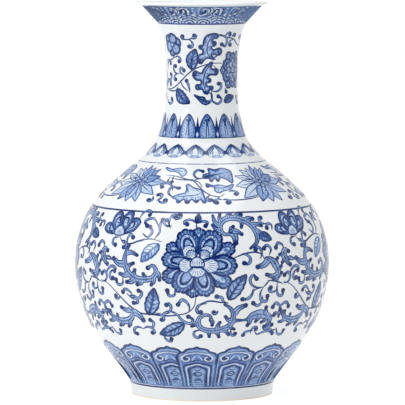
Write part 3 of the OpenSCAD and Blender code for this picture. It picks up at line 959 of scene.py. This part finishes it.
def side_lotus(work, foot):
    """A broad lotus seen from the side: two cupped petals each way and a pale one in front."""
    foot = np.array(foot, float)
    for way, layer, outline, eye in (
            (-1, 1, [(5, 1), (10, 0.6), (14.5, 1.6), (18, 4.6), (16.4, 8), (10.5, 8.6), (6, 5)],
             [(7.6, 2.4), (11.6, 3.4), (12, 6.6), (8.4, 7.8)]),
            (1, 1, [(4, 1), (9, 2), (14, 4), (16.6, 7.6), (18.4, 11), (14, 14.4), (9.4, 13), (6, 5)],
             [(8.2, 4.6), (12.6, 7.6), (12.4, 11.2), (8.8, 9.6)]),
            (-1, 2, [(3, 4), (7, 4.6), (10.4, 8.6), (10.8, 14), (8.6, 18.2), (4, 18.6), (0.6, 14.4),
                     (0.6, 8)],
             [(5.8, 6), (7.2, 11.6), (4.2, 14.2), (1.8, 9.4)]),
            (1, 3, [(3, 4), (7, 5.4), (9.6, 13), (8.8, 19), (6, 20), (1.6, 17.4), (-0.4, 13), (0.6, 8)],
             [(1.4, 8.4), (2.4, 13.8), (5.6, 14), (6, 8.6)])):
        edge = smooth(np.array(outline) * (way, 1) + foot, 1.2, closed=True)[:-1]
        work.outlined(edge, (0.72, 0.5), 0.97, 1.5, layer)
        middle = edge.mean(0)
        work.outlined(middle + (edge - middle) * 0.66, (0.28, 0.14), 0.9, 0.7, layer + 0.35)
        work.brush(np.array(eye) * (way, 1) + foot, (0.7, 1.5, 1.9, 1.3), 0.98, layer, over=0.0085)
    front = [(-5, 0.6), (-4.4, 4.6), (0, 7.6), (4.2, 4.8), (5, 0.8), (0, -0.6)]
    work.outlined(smooth(np.array(front) + foot, 1.2, closed=True)[:-1], (0.3, 0.1), 0.95, 1.1, 4)
    for k in (-2, -1, 0, 1, 2):
        work.brush(np.array([(k * 0.8, 0.8), (k * 1.3, 5 - abs(k))]) + foot, (0.4, 0.6), 0.75, 4,
                   over=0.003)


side_lotus(main_acanthus, (-70, 90))

great_lotus(main_lotus,
            [((-8, 75), (-13.5, 96.2), 18), ((1, 75), (11, 94.8), 19), ((4, 69), (25.8, 67.6), 17),
             ((-1.5, 65), (4, 44.6), 16.5), ((-7, 66), (-18.6, 48), 17.5), ((-9, 71), (-29.8, 73.2), 14.5)],
            [((-2.5, 76), (-2.4, 97.6), 14), ((6, 74), (24.6, 83.4), 13), ((4, 65), (20.4, 52.4), 14),
             ((-4, 62), (-7.8, 43.4), 13), ((-10, 66), (-29, 57.4), 14), ((-10, 74), (-26.6, 84), 12)],
            [((-5.5, 73.5), (-12.8, 83), 10.5), ((-0.5, 73.5), (7, 82.8), 10.5),
             ((-5, 72), (-9.6, 79.8), 8.4),
             ((-1, 72), (4.2, 79.8), 8.4), ((-6.5, 69), (-17.2, 67.4), 11.5),
             ((-0.5, 69), (12.5, 67), 11.5),
             ((-3.4, 68), (-3.6, 59), 13)], (-3.5, 70.6))
for name, work in (("main_tendrils", main_tendrils), ("main_acanthus", main_acanthus),
                   ("main_lotus", main_lotus)):
    painted(name + "_painting", work, MAIN_START, MAIN_RADIUS, MAIN_REPEATS)

# --- Foot panels --------------------------------------------------------------
# Upright lotus panels round the foot, each with a cloud-scroll head over an arched inner
# panel. They were spaced by eye, so the first one covers part of the last.

PANEL_START, PANEL_RADIUS, PANELS, PANEL_PERIOD, FIRST_PANEL = 9.1, 70.0, 16, 28.0, -3.5


def mirrored(points):
    """Points on the right of a centre line, followed by the same on the left, going back."""
    right = np.array(points, float)
    return np.vstack([right, (right * (-1, 1))[::-1]])


def foot_panel(work, centre, layer):
    """One panel, with its outlines nested from the outside in."""
    at = np.array([centre, 0])
    top = mirrored([(14.2, 2.4), (14.2, 30), (14.2, 36.2), (13.9, 36.8), (11.8, 39.4), (9.2, 40.3),
                    (8.6, 40.6),
                    (7.6, 42.2), (4.6, 43.8), (1.4, 44.4), (0.3, 45.6)])
    work.wash(top + at, (0.68, 0.5), layer)
    work.brush(top + at, 1.7, 0.97, layer, spacing=1.2)
    inner = mirrored([(12.0, 29), (12.0, 35.6), (10.6, 37.8), (8.0, 38.9), (5.8, 41.0), (1.4, 42.1)])
    work.brush(inner + at, 0.75, 0.25, layer, spacing=1.4)
    for way in (1, -1):
        scroll = np.array([(0.0, 39.6), (4.6, 38.8), (8.6, 37.2), (11.2, 33.8), (9.4, 30.6), (6.0, 31.6),
                           (5.6, 34.4), (7.8, 35.0)]) * (way, 1) + at
        work.brush(scroll, (1.2, 3.0, 3.2, 3.0, 1.6), 0.93, layer)
        work.brush(scroll, (0.8, 1.3, 1.4, 1.3, 1.0), 0.12, layer + 0.2)
        dot(work, np.array([8.2 * way, 33.6]) + at, 1.5, 0.97, layer - 0.3)
        work.brush(np.array([(3.8 * way, 31.2), (2.4 * way, 34.6), (0.6 * way, 36.6)]) + at,
                   (0.8, 1.3, 0.8),
                   0.2, layer + 0.2)
        work.brush(np.array([(12.6 * way, 3), (12.6 * way, 29)]) + at, 0.7, 0.3, layer)
    work.brush(mirrored([(9.0, 30.6), (4.0, 30.4), (0.4, 32.0)]) + at, 1.1, 0.95, layer)
    for half, height, width, tone in ((10.7, 28.8, 1.7, 0.97), (9.0, 27.1, 1.2, 0.14),
                                      (7.1, 25.2, 1.8, 0.98)):
        arch = mirrored([(half + 0.2, 2.8), (half, 16), (half - 0.1, height - 4.3),
                         (half - 0.4, height - 3.5),
                         (half * 0.5, height - 1.6), (0.4, height)])
        work.brush(arch + at, width, tone, layer + 0.1, spacing=1.4)
    work.wash(mirrored([(5.4, 2.8), (5.6, 18.6), (3.6, 22.4), (0.4, 23.4)]) + at, (0.46, 0.3), layer + 0.3)
    for height in (8.2, 16.0):
        ring = np.linspace(0, 2 * np.pi, 16, endpoint=False)
        motif = np.stack([3.3 * np.cos(ring), 2.5 * np.sin(ring) + height], 1) + at
        work.outlined(motif, (0.85, 0.62), 0.95, 0.8, layer + 0.5)
        work.brush(np.array([(-1.9, height + 0.5), (0, height + 1.2), (1.9, height + 0.5)]) + at, 0.7, 0.12,
                   layer + 0.6)
        work.brush(np.array([(-1.5, height - 0.9), (1.5, height - 0.9)]) + at, 0.7, 0.15, layer + 0.6)
        for way in (1, -1):
            work.brush(np.array([(4.6 * way, height - 2), (4.2 * way, height),
                                 (4.6 * way, height + 2)]) + at, 0.6,
                       0.75, layer + 0.5)
    work.brush(np.array([(-2.6, 21.6), (0, 19.8), (2.6, 21.6)]) + at, 1.0, 0.85, layer + 0.5)
    work.brush(np.array([(-3.0, 12.2), (0, 11.6), (3.0, 12.2)]) + at, 0.7, 0.7, layer + 0.5)


foot_panels, over_panel = Brushwork(), Brushwork()
foot_panel(foot_panels, FIRST_PANEL + PANEL_PERIOD, 0)
foot_panel(over_panel, FIRST_PANEL, 3)
painted("foot_panels_painting", foot_panels, PANEL_START, PANEL_RADIUS, PANELS - 1, PANEL_PERIOD)
painted("first_foot_panel_painting", over_panel, PANEL_START, PANEL_RADIUS, 1)

# --- Ruled rings --------------------------------------------------------------
# Single lines of cobalt between the bands, drawn with the vase turning on a banding
# wheel and the brush held still.

RING_PARTS = 24

for name, place, width, strength in (("foot_ring_line", 10.4, 1.3, 0.95),
                                     ("main_ring_line", 165.0, 1.5, 0.92),
                                     ("shoulder_ring_line", 215.6, 0.8, 0.75),
                                     ("plantain_ring_line", 241.0, 1.3, 0.97),
                                     ("wave_ring_line", 331.4, 1.2, 0.92),
                                     ("lip_ring_line", 350.6, 1.0, 0.9)):
    radius = np.interp(place, run, outside[:, 0])
    arc = 2 * np.pi * radius / RING_PARTS
    ruled = Brushwork()
    ruled.brush([(-0.6, 0), (arc / 2, 0.06), (arc + 0.6, 0)], width, strength, 1, spacing=2.2)
    painted(name + "_painting", ruled, place, radius, RING_PARTS)

# --- Shoulder scroll ----------------------------------------------------------
# Spiky lotuses with long pointed petals, four round the shoulder, with acanthus sprays
# on a winding stem between them.

SHOULDER_START, SHOULDER_RADIUS, SHOULDER_REPEATS = 169.0, 70.0, 4


def pointed_petal(work, root, tip, width, layer, tone=(0.4, 0.16), line=0.93):
    """A long pointed petal with a dark edge, a middle vein and two fine side veins."""
    root, tip = np.array(root, float), np.array(tip, float)
    axis = tip - root
    side = np.array([-axis[1], axis[0]]) / np.hypot(*axis) * width / 2
    shape = smooth([root, root + axis * 0.3 + side * 0.75, root + axis * 0.6 + side,
                    root + axis * 0.86 + side * 0.42, tip], 1.5)
    other = smooth([root, root + axis * 0.3 - side * 0.75, root + axis * 0.6 - side,
                    root + axis * 0.86 - side * 0.42, tip], 1.5)
    ring = np.vstack([shape, other[-2:0:-1]])
    work.wash(ring, tone, layer)
    work.brush(np.vstack([shape, other[-2::-1]]), 0.85, line, layer)
    work.brush([root, root + axis * 0.5, root + axis * 0.85], (0.9, 0.9, 0.4), line, layer, over=0.003)


shoulder_lotus, shoulder_scroll = Brushwork(), Brushwork()
heart = np.array([52.5, 25.5])
for tip, width, layer, blue in (((30, 33), 6, 1, 0.12), ((38, 39.5), 7, 1, 0.12), ((67, 40), 6.5, 1, 0.4),
                                ((79, 26), 8.5, 1, 0.3), ((73.5, 12.5), 8.5, 1, 0.25),
                                ((27.5, 22), 9, 1, 0.15),
                                ((30.5, 9.5), 10, 2, 0.2), ((61.5, 4.8), 8, 2, 0.3),
                                ((71.5, 32), 8, 2, 0.6),
                                ((46, 41), 6.5, 2, 0.15), ((43.5, 5.2), 9.5, 3, 0.5),
                                ((52.5, 4.4), 9, 3, 0.3),
                                ((60, 41.5), 7, 3, 0.4), ((53, 43.8), 6.5, 3, 0.5)):
    pointed_petal(shoulder_lotus, heart, tip, width, layer, (blue, blue * 0.6), 0.82)
for angle in range(0, 360, 60):
    core_lobe(shoulder_lotus, heart, heart + turned([(7, 0)], angle + 30)[0] * (1.15, 0.85), 5.5, 4)
dot(shoulder_lotus, heart, 2.3, 0.9, 5)
dot(shoulder_lotus, heart + (0, 0.3), 1.0, 0.2, 5.4)

for stem in ([(-34, 34), (-24, 33), (-14, 30), (-8, 28.5), (-3, 23), (1, 17.5), (6, 13), (12, 11),
              (16.5, 14)],
             [(-30, 31.6), (-20, 29.4), (-9, 28.6), (-3, 27), (0.4, 21)],
             [(8, 12), (12, 10.4), (10, 8)],
             [(15, 8), (24, 7.6), (34, 8.4), (42, 10)],
             [(-8, 28.5), (-2, 30.5), (2, 31)],
             [(-25, 18), (-23.5, 13), (-19, 10), (-14, 10.5)],
             [(-25, 33.5), (-26, 30), (-25.5, 27.5)]):
    spray(shoulder_scroll, stem, 1.3)
for tendril in ([(1, 31), (-5, 31.5), (-7.5, 36), (-4, 40), (0.8, 38.6)],
                [(2, 24.5), (6, 26), (4.5, 22.5)],
                [(-20, 10), (-24.6, 14), (-24, 21), (-18, 20)],
                [(-22, 17), (-27, 19), (-32, 20.6)],
                [(-36, 11), (-33, 6), (-38, 7)],
                [(-32, 6.5), (-29, 12), (-32, 12.5)],
                [(-31, 8), (-27, 5), (-25.5, 7.5)],
                [(20, 16), (26, 18), (25, 13.5)],
                [(14, 8), (11, 9), (9.8, 5.2)],
                [(14, 8), (17, 9), (17.6, 5)],
                [(-29, 31), (-30, 28), (-25.5, 26.5)],
                [(6, 13), (3, 9), (6, 8)]):
    curl(shoulder_scroll, tendril)
frond(shoulder_scroll, [(1, 31), (1.5, 35), (6.5, 36.4), (6, 41.6), (12, 40.4), (20, 41.8), (28, 38.4),
                        (27.4, 32),
                        (25, 25.4), (21, 29.6), (16.4, 31.4), (13.4, 27.4), (11, 31), (7.6, 27.2),
                        (6, 30.6)],
      [(2, 32.5), (10, 34), (18, 36), (26, 37.4)], (0.55, 0.3), 0.92)
frond(shoulder_scroll, [(3, 25.2), (8, 22.8), (13, 23.6), (20, 22), (25.8, 24.4), (21.6, 18.4), (17, 17.4),
                        (12, 15.2),
                        (9.4, 18.4), (10, 20.6), (6, 22)],
      [(5, 23.8), (11, 20.5), (18, 20.5), (24, 23)], (0.34, 0.14), 0.75, 2, 1.1)
frond(shoulder_scroll, [(-21, 10), (-17, 13.4), (-12.4, 15), (-11.8, 24.6), (-6, 20.5), (-1, 18.6),
                        (1.4, 12), (2.2, 4.8),
                        (-1.4, 8.4), (-3.8, 5.4), (-7, 8.6), (-10, 4.6), (-12.6, 8.6), (-16.2, 4.8),
                        (-18, 8.6)],
      [(-19, 10.5), (-10, 12), (-4, 13), (0, 16)], (0.36, 0.14), 0.78)
frond(shoulder_scroll, [(-38.4, 42.4), (-33, 38.4), (-27, 38), (-22, 36.4), (-17.6, 32.6), (-14.6, 37),
                        (-17, 40.8),
                        (-24, 41.8), (-30, 40.6)],
      [(-37, 41.5), (-27, 39.5), (-18, 38)], (0.3, 0.12), 0.68, 2, 1.1)
# Dark strokes over the left of the big frond, fading to the right, and one at the foot of the small frond.
# The big frond's right half is left pale: a painted highlight, a reflection in the glaze put into the
# cobalt's colour
shoulder_scroll.brush([(2, 32.8), (7, 33), (13, 35.6)], (2.4, 3.6, 1.0), (0.9, 0.7), 2, over=0.005)
shoulder_scroll.brush([(8, 40.6), (13, 39.4), (18, 40.4)], (1.4, 2.4, 1.0), (0.9, 0.7), 2, over=0.005)
shoulder_scroll.brush([(4.2, 24.6), (9, 22.6), (13, 22.6)], (1.4, 2.2, 0.8), (0.9, 0.6), 2, over=0.005)
for knob, size in (((1.4, 6), 1.5), ((-3.8, 6.6), 1.7), ((-9.9, 5.8), 1.9), ((-16, 6), 1.7),
                   ((7.8, 28.2), 1.6),
                   ((13.4, 28.4), 1.5), ((8.6, 6), 1.5), ((17.4, 5.6), 1.6), ((-8.6, 28.8), 1.3)):
    dot(shoulder_scroll, knob, size, 0.95, 3)
painted("shoulder_lotus_painting", shoulder_lotus, SHOULDER_START, SHOULDER_RADIUS, SHOULDER_REPEATS)
painted("shoulder_scroll_painting", shoulder_scroll, SHOULDER_START, SHOULDER_RADIUS, SHOULDER_REPEATS)

# --- Linked arches ------------------------------------------------------------
# A narrow band at the root of the neck: linked double arches with a dark knot where
# they cross, and a pale heart under each.

ARCH_START, ARCH_RADIUS, ARCHES = 215.4, 38.0, 16

arches = Brushwork()
half = np.pi * ARCH_RADIUS / ARCHES
crown = np.array([-5.0, 0.0])
arches.wash(smooth(np.array([(-half, 13), (-half + 2, 17.5), (-3, 19), (0, 20), (3, 19), (half - 2, 17.5),
                             (half, 13),
                             (half - 2, 8), (0, 6.8), (-half + 2, 8)]) + crown, 1.2, closed=True)[:-1], 0.1,
            0)
for way in (1, -1):
    for inset, width, strength in ((0, 1.5, 0.96), (0.22, 0.8, 0.8), (0.4, 0.8, 0.85), (0.6, 0.7, 0.7)):
        arch = np.array([(0, 19.0), (1.8, 18.2), (4.6, 15.6), (half - 0.6, 12.8), (half + 1.2, 10.6)])
        arch = arch * (1 - inset, 1 - inset * 0.45) + (0, inset * 2.4)
        arches.brush(arch * (way, 1) + crown, (width * 1.3, width, width, width * 0.7),
                     (strength + 0.04, strength - 0.2), 1)
    for drop, strength in ((0, 0.85), (1.5, 0.7), (3.0, 0.65)):
        hanging = np.array([(half * way, 12.2 - drop * 0.2), ((half - 3.4) * way, 10.2 - drop * 0.5),
                            (1.6 * way, 9.2 - drop * 0.75), (0, 9.4 - drop * 0.8)])
        arches.brush(hanging + crown, (1.3, 0.8, 0.5), (strength, strength - 0.2), 1)
arches.wash(np.array([(0, 17), (1.7, 14.2), (1.4, 12), (0, 10.8), (-1.4, 12), (-1.7, 14.2)]) + crown, 0.04,
            2.4)
for way in (1, -1):
    arches.wash(np.array([(3.2 * way, 11), (5.4 * way, 10.4), (4.2 * way, 8.4), (2.4 * way, 8.6)]) + crown,
                0.06, 2.4)
arches.wash(np.array([(0, 18.2), (1.1, 16.8), (0, 15.4), (-1.1, 16.8)]) + crown + (half, 0), 0.05, 2.4)
dot(arches, crown + (half, 12.2), 1.9, 0.98, 1.2)
dot(arches, crown + (0, 18.8), 1.3, 0.97, 1.2)
painted("arch_band_painting", arches, ARCH_START, ARCH_RADIUS, ARCHES)

# --- Plantain leaves ----------------------------------------------------------
# Stiff upright leaves round the lower neck, dark at the tip and veined, with a narrow
# spike between each pair and the ground filled in at their feet.

LEAF_START, LEAF_RADIUS, LEAVES = 215.4, 38.0, 13

plantain = Brushwork()
pitch = 2 * np.pi * LEAF_RADIUS / LEAVES
stalk = np.array([5.0, 0.0])
ground = [(-pitch / 2, 25.6), (pitch / 2, 25.6), (pitch / 2, 31.5), (7.4, 33.4), (6.8, 30), (-6.8, 30),
          (-7.4, 33.4), (-pitch / 2, 31.5)]
plantain.wash(np.array(ground) + stalk, 0.42, 0)
spike = [(-2.4, 25.6), (-2.0, 32.5), (-1.0, 37.0), (0, 43.2), (1.0, 37.0), (2.0, 32.5), (2.4, 25.6)]
plantain.wash(np.array(spike) + stalk + (pitch / 2, 0), (0.97, 0.9), 1)
plantain.wash(np.array([(0, 25.9), (1.2, 28.2), (0, 30.6), (-1.2, 28.2)]) + stalk + (pitch / 2, 0), 0.15,
              2.4)
blade = smooth([(7.0, 25.6), (7.6, 30.0), (6.6, 35.5), (4.3, 40.6), (1.4, 43.8), (0, 44.4), (-1.4, 43.8),
                (-4.3, 40.6), (-6.6, 35.5), (-7.6, 30.0), (-7.0, 25.6)], 1.2) + stalk
plantain.wash(blade, (0.64, 0.42), 2)
plantain.wash(np.array([(0, 44.2), (2.6, 41.5), (3.0, 37.5), (0, 34.6), (-3.0, 37.5),
                        (-2.6, 41.5)]) + stalk,
              (0.85, 0.96), 2.35)
plantain.brush(blade, 1.0, 0.97, 2)
for way in (1, -1):
    plantain.brush(np.array([(0.9 * way, 26), (0.9 * way, 33), (0.3 * way, 40)]) + stalk, (0.7, 0.6, 0.3),
                   0.97, 2,
                   over=0.004)
    for foot in (26.2, 28.6, 31.0, 33.4, 35.8):
        reach = 6.3 - (foot - 26) * 0.28
        vein = np.array([(1.6 * way, foot), (reach * 0.6 * way, foot + 2.6),
                         (reach * way, foot + 3.2)]) + stalk
        plantain.brush(vein, (0.7, 0.9, 0.4), 0.2, 2, over=0.003)
plantain.brush(np.array([(0, 26), (0, 33.5)]) + stalk, (1.0, 0.4), 0.15, 2, over=0.002)
painted("plantain_leaves_painting", plantain, LEAF_START, LEAF_RADIUS, LEAVES)

# --- Neck scroll --------------------------------------------------------------
# The same lotus scroll again, smaller, twice round the neck: one full lotus, one small
# rosette, and acanthus leaves on a climbing stem.

NECK_START, NECK_RADIUS, NECK_REPEATS = 264.1, 29.0, 2

neck_scroll, neck_flowers = Brushwork(), Brushwork()
for stem in ([(-45, 20), (-36, 15), (-28, 15.5), (-20, 20), (-12, 27), (-7, 30.5), (0, 33.5), (8, 35.5),
              (17, 35.5)],
             [(-37, 38), (-31, 37.5), (-26, 39.5), (-20, 41)],
             [(-36, 14), (-30, 13.5), (-24, 14), (-21, 17)],
             [(-15.5, 56), (-13, 54.5), (-9, 54.8), (-6.4, 57)],
             [(13, 57.5), (20, 56), (27, 54.5), (33, 50.5), (40, 48)],
             [(-19, 22), (-16, 17), (-12, 14)],
             [(5, 14), (7.5, 11), (7.5, 8)],
             [(18, 23), (22, 19), (27, 15.5)],
             [(40, 15), (44, 22), (46, 30), (54, 38)]):
    spray(neck_scroll, stem, 1.1)
for tendril in ([(-10, 54.6), (-7, 51.5), (-10, 48.9)],
                [(-12, 54.6), (-16, 54.5), (-14.8, 57)],
                [(-8, 55), (-4, 55), (-5.6, 57.8)],
                [(-24, 40.5), (-17, 41), (-20, 36.8)],
                [(-15, 26), (-19.4, 29), (-18, 32), (-15.4, 29.8)],
                [(-20, 27), (-26, 29), (-24, 33)],
                [(-22, 27), (-26, 25), (-24, 22.6)],
                [(-9.8, 12.4), (-10.6, 16), (-11.6, 19.4), (-13, 21.8)],
                [(7.8, 14), (7.8, 7.4), (5, 4.4), (1.6, 6.8)],
                [(7.5, 14), (18, 14), (14, 19.5)],
                [(7.6, 11), (9, 5.6), (13.2, 3.8), (16.6, 7.4), (13.6, 9.6)],
                [(8, 58), (14, 58), (20, 54.6), (19, 48.8), (15.8, 50.4)],
                [(19, 7), (25, 11), (25.5, 7)],
                [(20, 16), (23, 10), (21.5, 13)],
                [(18, 57), (22, 61), (22.2, 58)],
                [(25, 56), (28, 61), (27.6, 57.6)],
                [(27, 54), (22, 53), (24.5, 49.8)],
                [(-36, 30), (-33, 36), (-30.6, 35)],
                [(-38, 24), (-32, 22), (-31, 26.5)],
                [(-38, 14), (-34, 22), (-31, 18.6)],
                [(-37, 9), (-31, 4), (-28.6, 7.2)],
                [(44, 26), (38, 4), (36, 8.5)],
                [(46, 30), (50, 24), (49, 20)],
                [(40, 48), (46, 50), (45, 45)],
                [(38, 49), (40, 57), (36, 55.5)],
                [(52, 12), (46, 6), (44, 10)]):
    curl(neck_scroll, tendril, 2.3, 1.75)
leaf(neck_scroll, (-8.6, 30.8), (-5, 46.8), 8.6, 1.2, 0.36, 0.8)
leaf(neck_scroll, (-22.6, 14.6), (-10, 4.4), 8, -1.6, 0.36, 0.8)
leaf(neck_scroll, (19, 5.5), (31, 9), 5, 0.5, 0.5, 0.75)
frond(neck_scroll, [(10.6, 38.6), (8.4, 40.6), (7.6, 42.8), (15, 42.4), (16.2, 45), (14.6, 47.2),
                    (8.4, 46.2), (7, 48.4),
                    (10.6, 50), (10.4, 52.6), (7.6, 52.8), (8, 55), (12, 56), (11.4, 58.4), (7, 59),
                    (3, 57),
                    (1.2, 52.6), (0.8, 49.6), (-1.8, 49.8), (-2, 47.4), (0.6, 46.2), (0.6, 43.6),
                    (-2.6, 41.4),
                    (-3.2, 37), (-1, 35.2), (1.4, 38), (3.6, 39.6)],
      [(8, 39), (4.6, 43), (4, 49), (7, 57)], (0.62, 0.2), 0.97, 2.5, 1.5)
frond(neck_scroll, [(8.5, 36.5), (7.5, 31.5), (13.4, 30.4), (12.6, 27), (6.4, 26.4), (4.4, 24.6),
                    (7.4, 22.6), (6, 20.6),
                    (3.2, 20.4), (4.4, 17.6), (9, 17.2), (8.4, 15), (5.6, 14.6), (5, 11.8), (1.8, 12.4),
                    (0.4, 15.2),
                    (-4.6, 15.4), (-5, 18.2), (-0.6, 19.4), (-0.8, 22), (-4.6, 22.6), (-7.6, 27),
                    (-6.2, 29.4),
                    (-0.6, 27.6), (2, 31.6)],
      [(8, 35), (4, 31), (1.6, 25), (1.4, 19), (3.4, 13)], (0.66, 0.22), 0.97, 2.5, 1.5)
frond(neck_scroll, [(-6.6, 11), (-2, 9.4), (2, 8.8), (3, 6.4), (6, 6), (3.4, 3.2), (0, 4.4), (-3, 7.4)],
      [(-6, 10.6), (0, 7), (4, 4.6)], (0.66, 0.4), 0.95, 2, 1.2)
for knob, size in (((14, 44.9), 2.1), ((9, 51.2), 1.6), ((-0.8, 48.2), 1.5), ((-1.4, 37.4), 2.1),
                   ((12, 28.8), 2.0),
                   ((6.4, 21.7), 1.5), ((7.6, 16.2), 1.7), ((-4, 16.8), 1.7), ((3, 12.8), 1.5),
                   ((-5.9, 27.2), 2.0)):
    dot(neck_scroll, knob, size, 0.97, 3)

rosette = np.array([-26.0, 50.0])
for angle in range(18, 378, 60):
    eye = rosette + turned([(4.6, 0)], angle)[0]
    ring = np.linspace(0, 2 * np.pi, 12, endpoint=False)
    edge = eye + np.stack([4.3 * np.cos(ring), 4.3 * np.sin(ring)], 1)
    neck_flowers.outlined(edge, (0.8, 0.3), 0.98, 1.7, 2 + (angle // 60) % 2)
dot(neck_flowers, rosette, 2.4, 0.9, 4)
dot(neck_flowers, rosette, 1.2, 0.2, 4.5)
middle = np.array([29.5, 30.0])
round_way = {angle: turned([(1, 0)], angle)[0] for angle in range(-150, 210, 30)}
great_lotus(neck_flowers,
            [(middle + round_way[a] * 3, middle + round_way[a] * (12.6, 13.6), 9.6) for a in (90, 30, -30,
                -90, -150, 150)],
            [(middle + round_way[a] * 4, middle + round_way[a] * (14, 16.4), 8) for a in (60, 0, -60, -120,
                180, 120)],
            [(middle + round_way[a] * 1, middle + round_way[a] * 7, 6) for a in (60, 0, -60, -120, 180,
                120)],
            middle, 0.6)
painted("neck_scroll_painting", neck_scroll, NECK_START, NECK_RADIUS, NECK_REPEATS)
painted("neck_flowers_painting", neck_flowers, NECK_START, NECK_RADIUS, NECK_REPEATS)

# --- Wave band ----------------------------------------------------------------
# Rolling waves under the lip: the ground is washed dark, with the foaming crests and
# the lines of the swell left white.

WAVE_START, WAVE_RADIUS, WAVES = 328.8, 38.0, 10

waves = Brushwork()
swell = 2 * np.pi * WAVE_RADIUS / WAVES
for part in range(6):
    low, high = swell * part / 6, swell * (part + 1) / 6
    waves.wash([(low, 2.8), (high, 2.8), (high, 21.6), (low, 21.6)], 0.42, 0)
for middle, tallest in ((13.0, 10.8), (1.0, 6.8)):
    for k, reach in enumerate(np.arange(tallest, 1.0, -1.3)):
        sweep = np.radians(np.linspace(8, 172, 12))
        fan = np.stack([middle + reach * 1.05 * np.cos(sweep), 2.6 + reach * 0.8 * np.sin(sweep)], 1)
        waves.brush(fan, 0.85, (0.08, 0.84)[k % 2], 1 + (middle < 5))
for k in range(5):
    waves.brush([(16.4 + k * 1.5, 11.4 + k * 2.0), (21, 13.0 + k * 1.8), (25 - k * 0.4, 11.2 + k * 2.2)],
                (0.5, 0.9, 0.5), (0.1, 0.2), 1)
dark_water = smooth([(-1.5, 10.5), (2.5, 9.6), (8, 11.2), (14, 10.6), (16.6, 12.6), (15.6, 18.5),
                     (11.5, 21.4),
                     (5, 21.2), (0.5, 19.5), (-1.8, 14)], 1.4, closed=True)[:-1]
waves.wash(dark_water, (0.62, 0.85), 3)
for crest, width in (([(0.5, 10.8), (3.4, 12.6), (4.6, 16.2), (2.8, 18.6), (0.6, 17.4), (1.4, 15.2)], 1.9),
                     ([(6.6, 11.2), (10.0, 13.2), (10.6, 16.6)], 1.5),
                     ([(13.4, 11.0), (13.8, 15.2), (12.4, 18.8), (9.4, 19.4), (8.2, 17.2)], 2.0),
                     ([(15.2, 11.6), (16.8, 10.6), (18.6, 11.6)], 1.4),
                     ([(-2.6, 11.2), (-0.6, 10.4), (1.4, 11.6)], 1.3),
                     ([(4.8, 11.4), (6.6, 13.8), (6.8, 18.4), (5.0, 20.2)], 1.1)):
    waves.brush(crest, (width * 0.6, width, width * 0.7), 0.04, 4, spacing=1.0)
for drop in ((-0.6, 20.6), (8.0, 20.6), (16.8, 15.6), (17.6, 19.0)):
    dot(waves, drop, 0.7, 0.06, 4)
painted("wave_band_painting", waves, WAVE_START, WAVE_RADIUS, WAVES)

# --- Hand over ----------------------------------------------------------------

bpy.data.objects.remove(vase_outline)
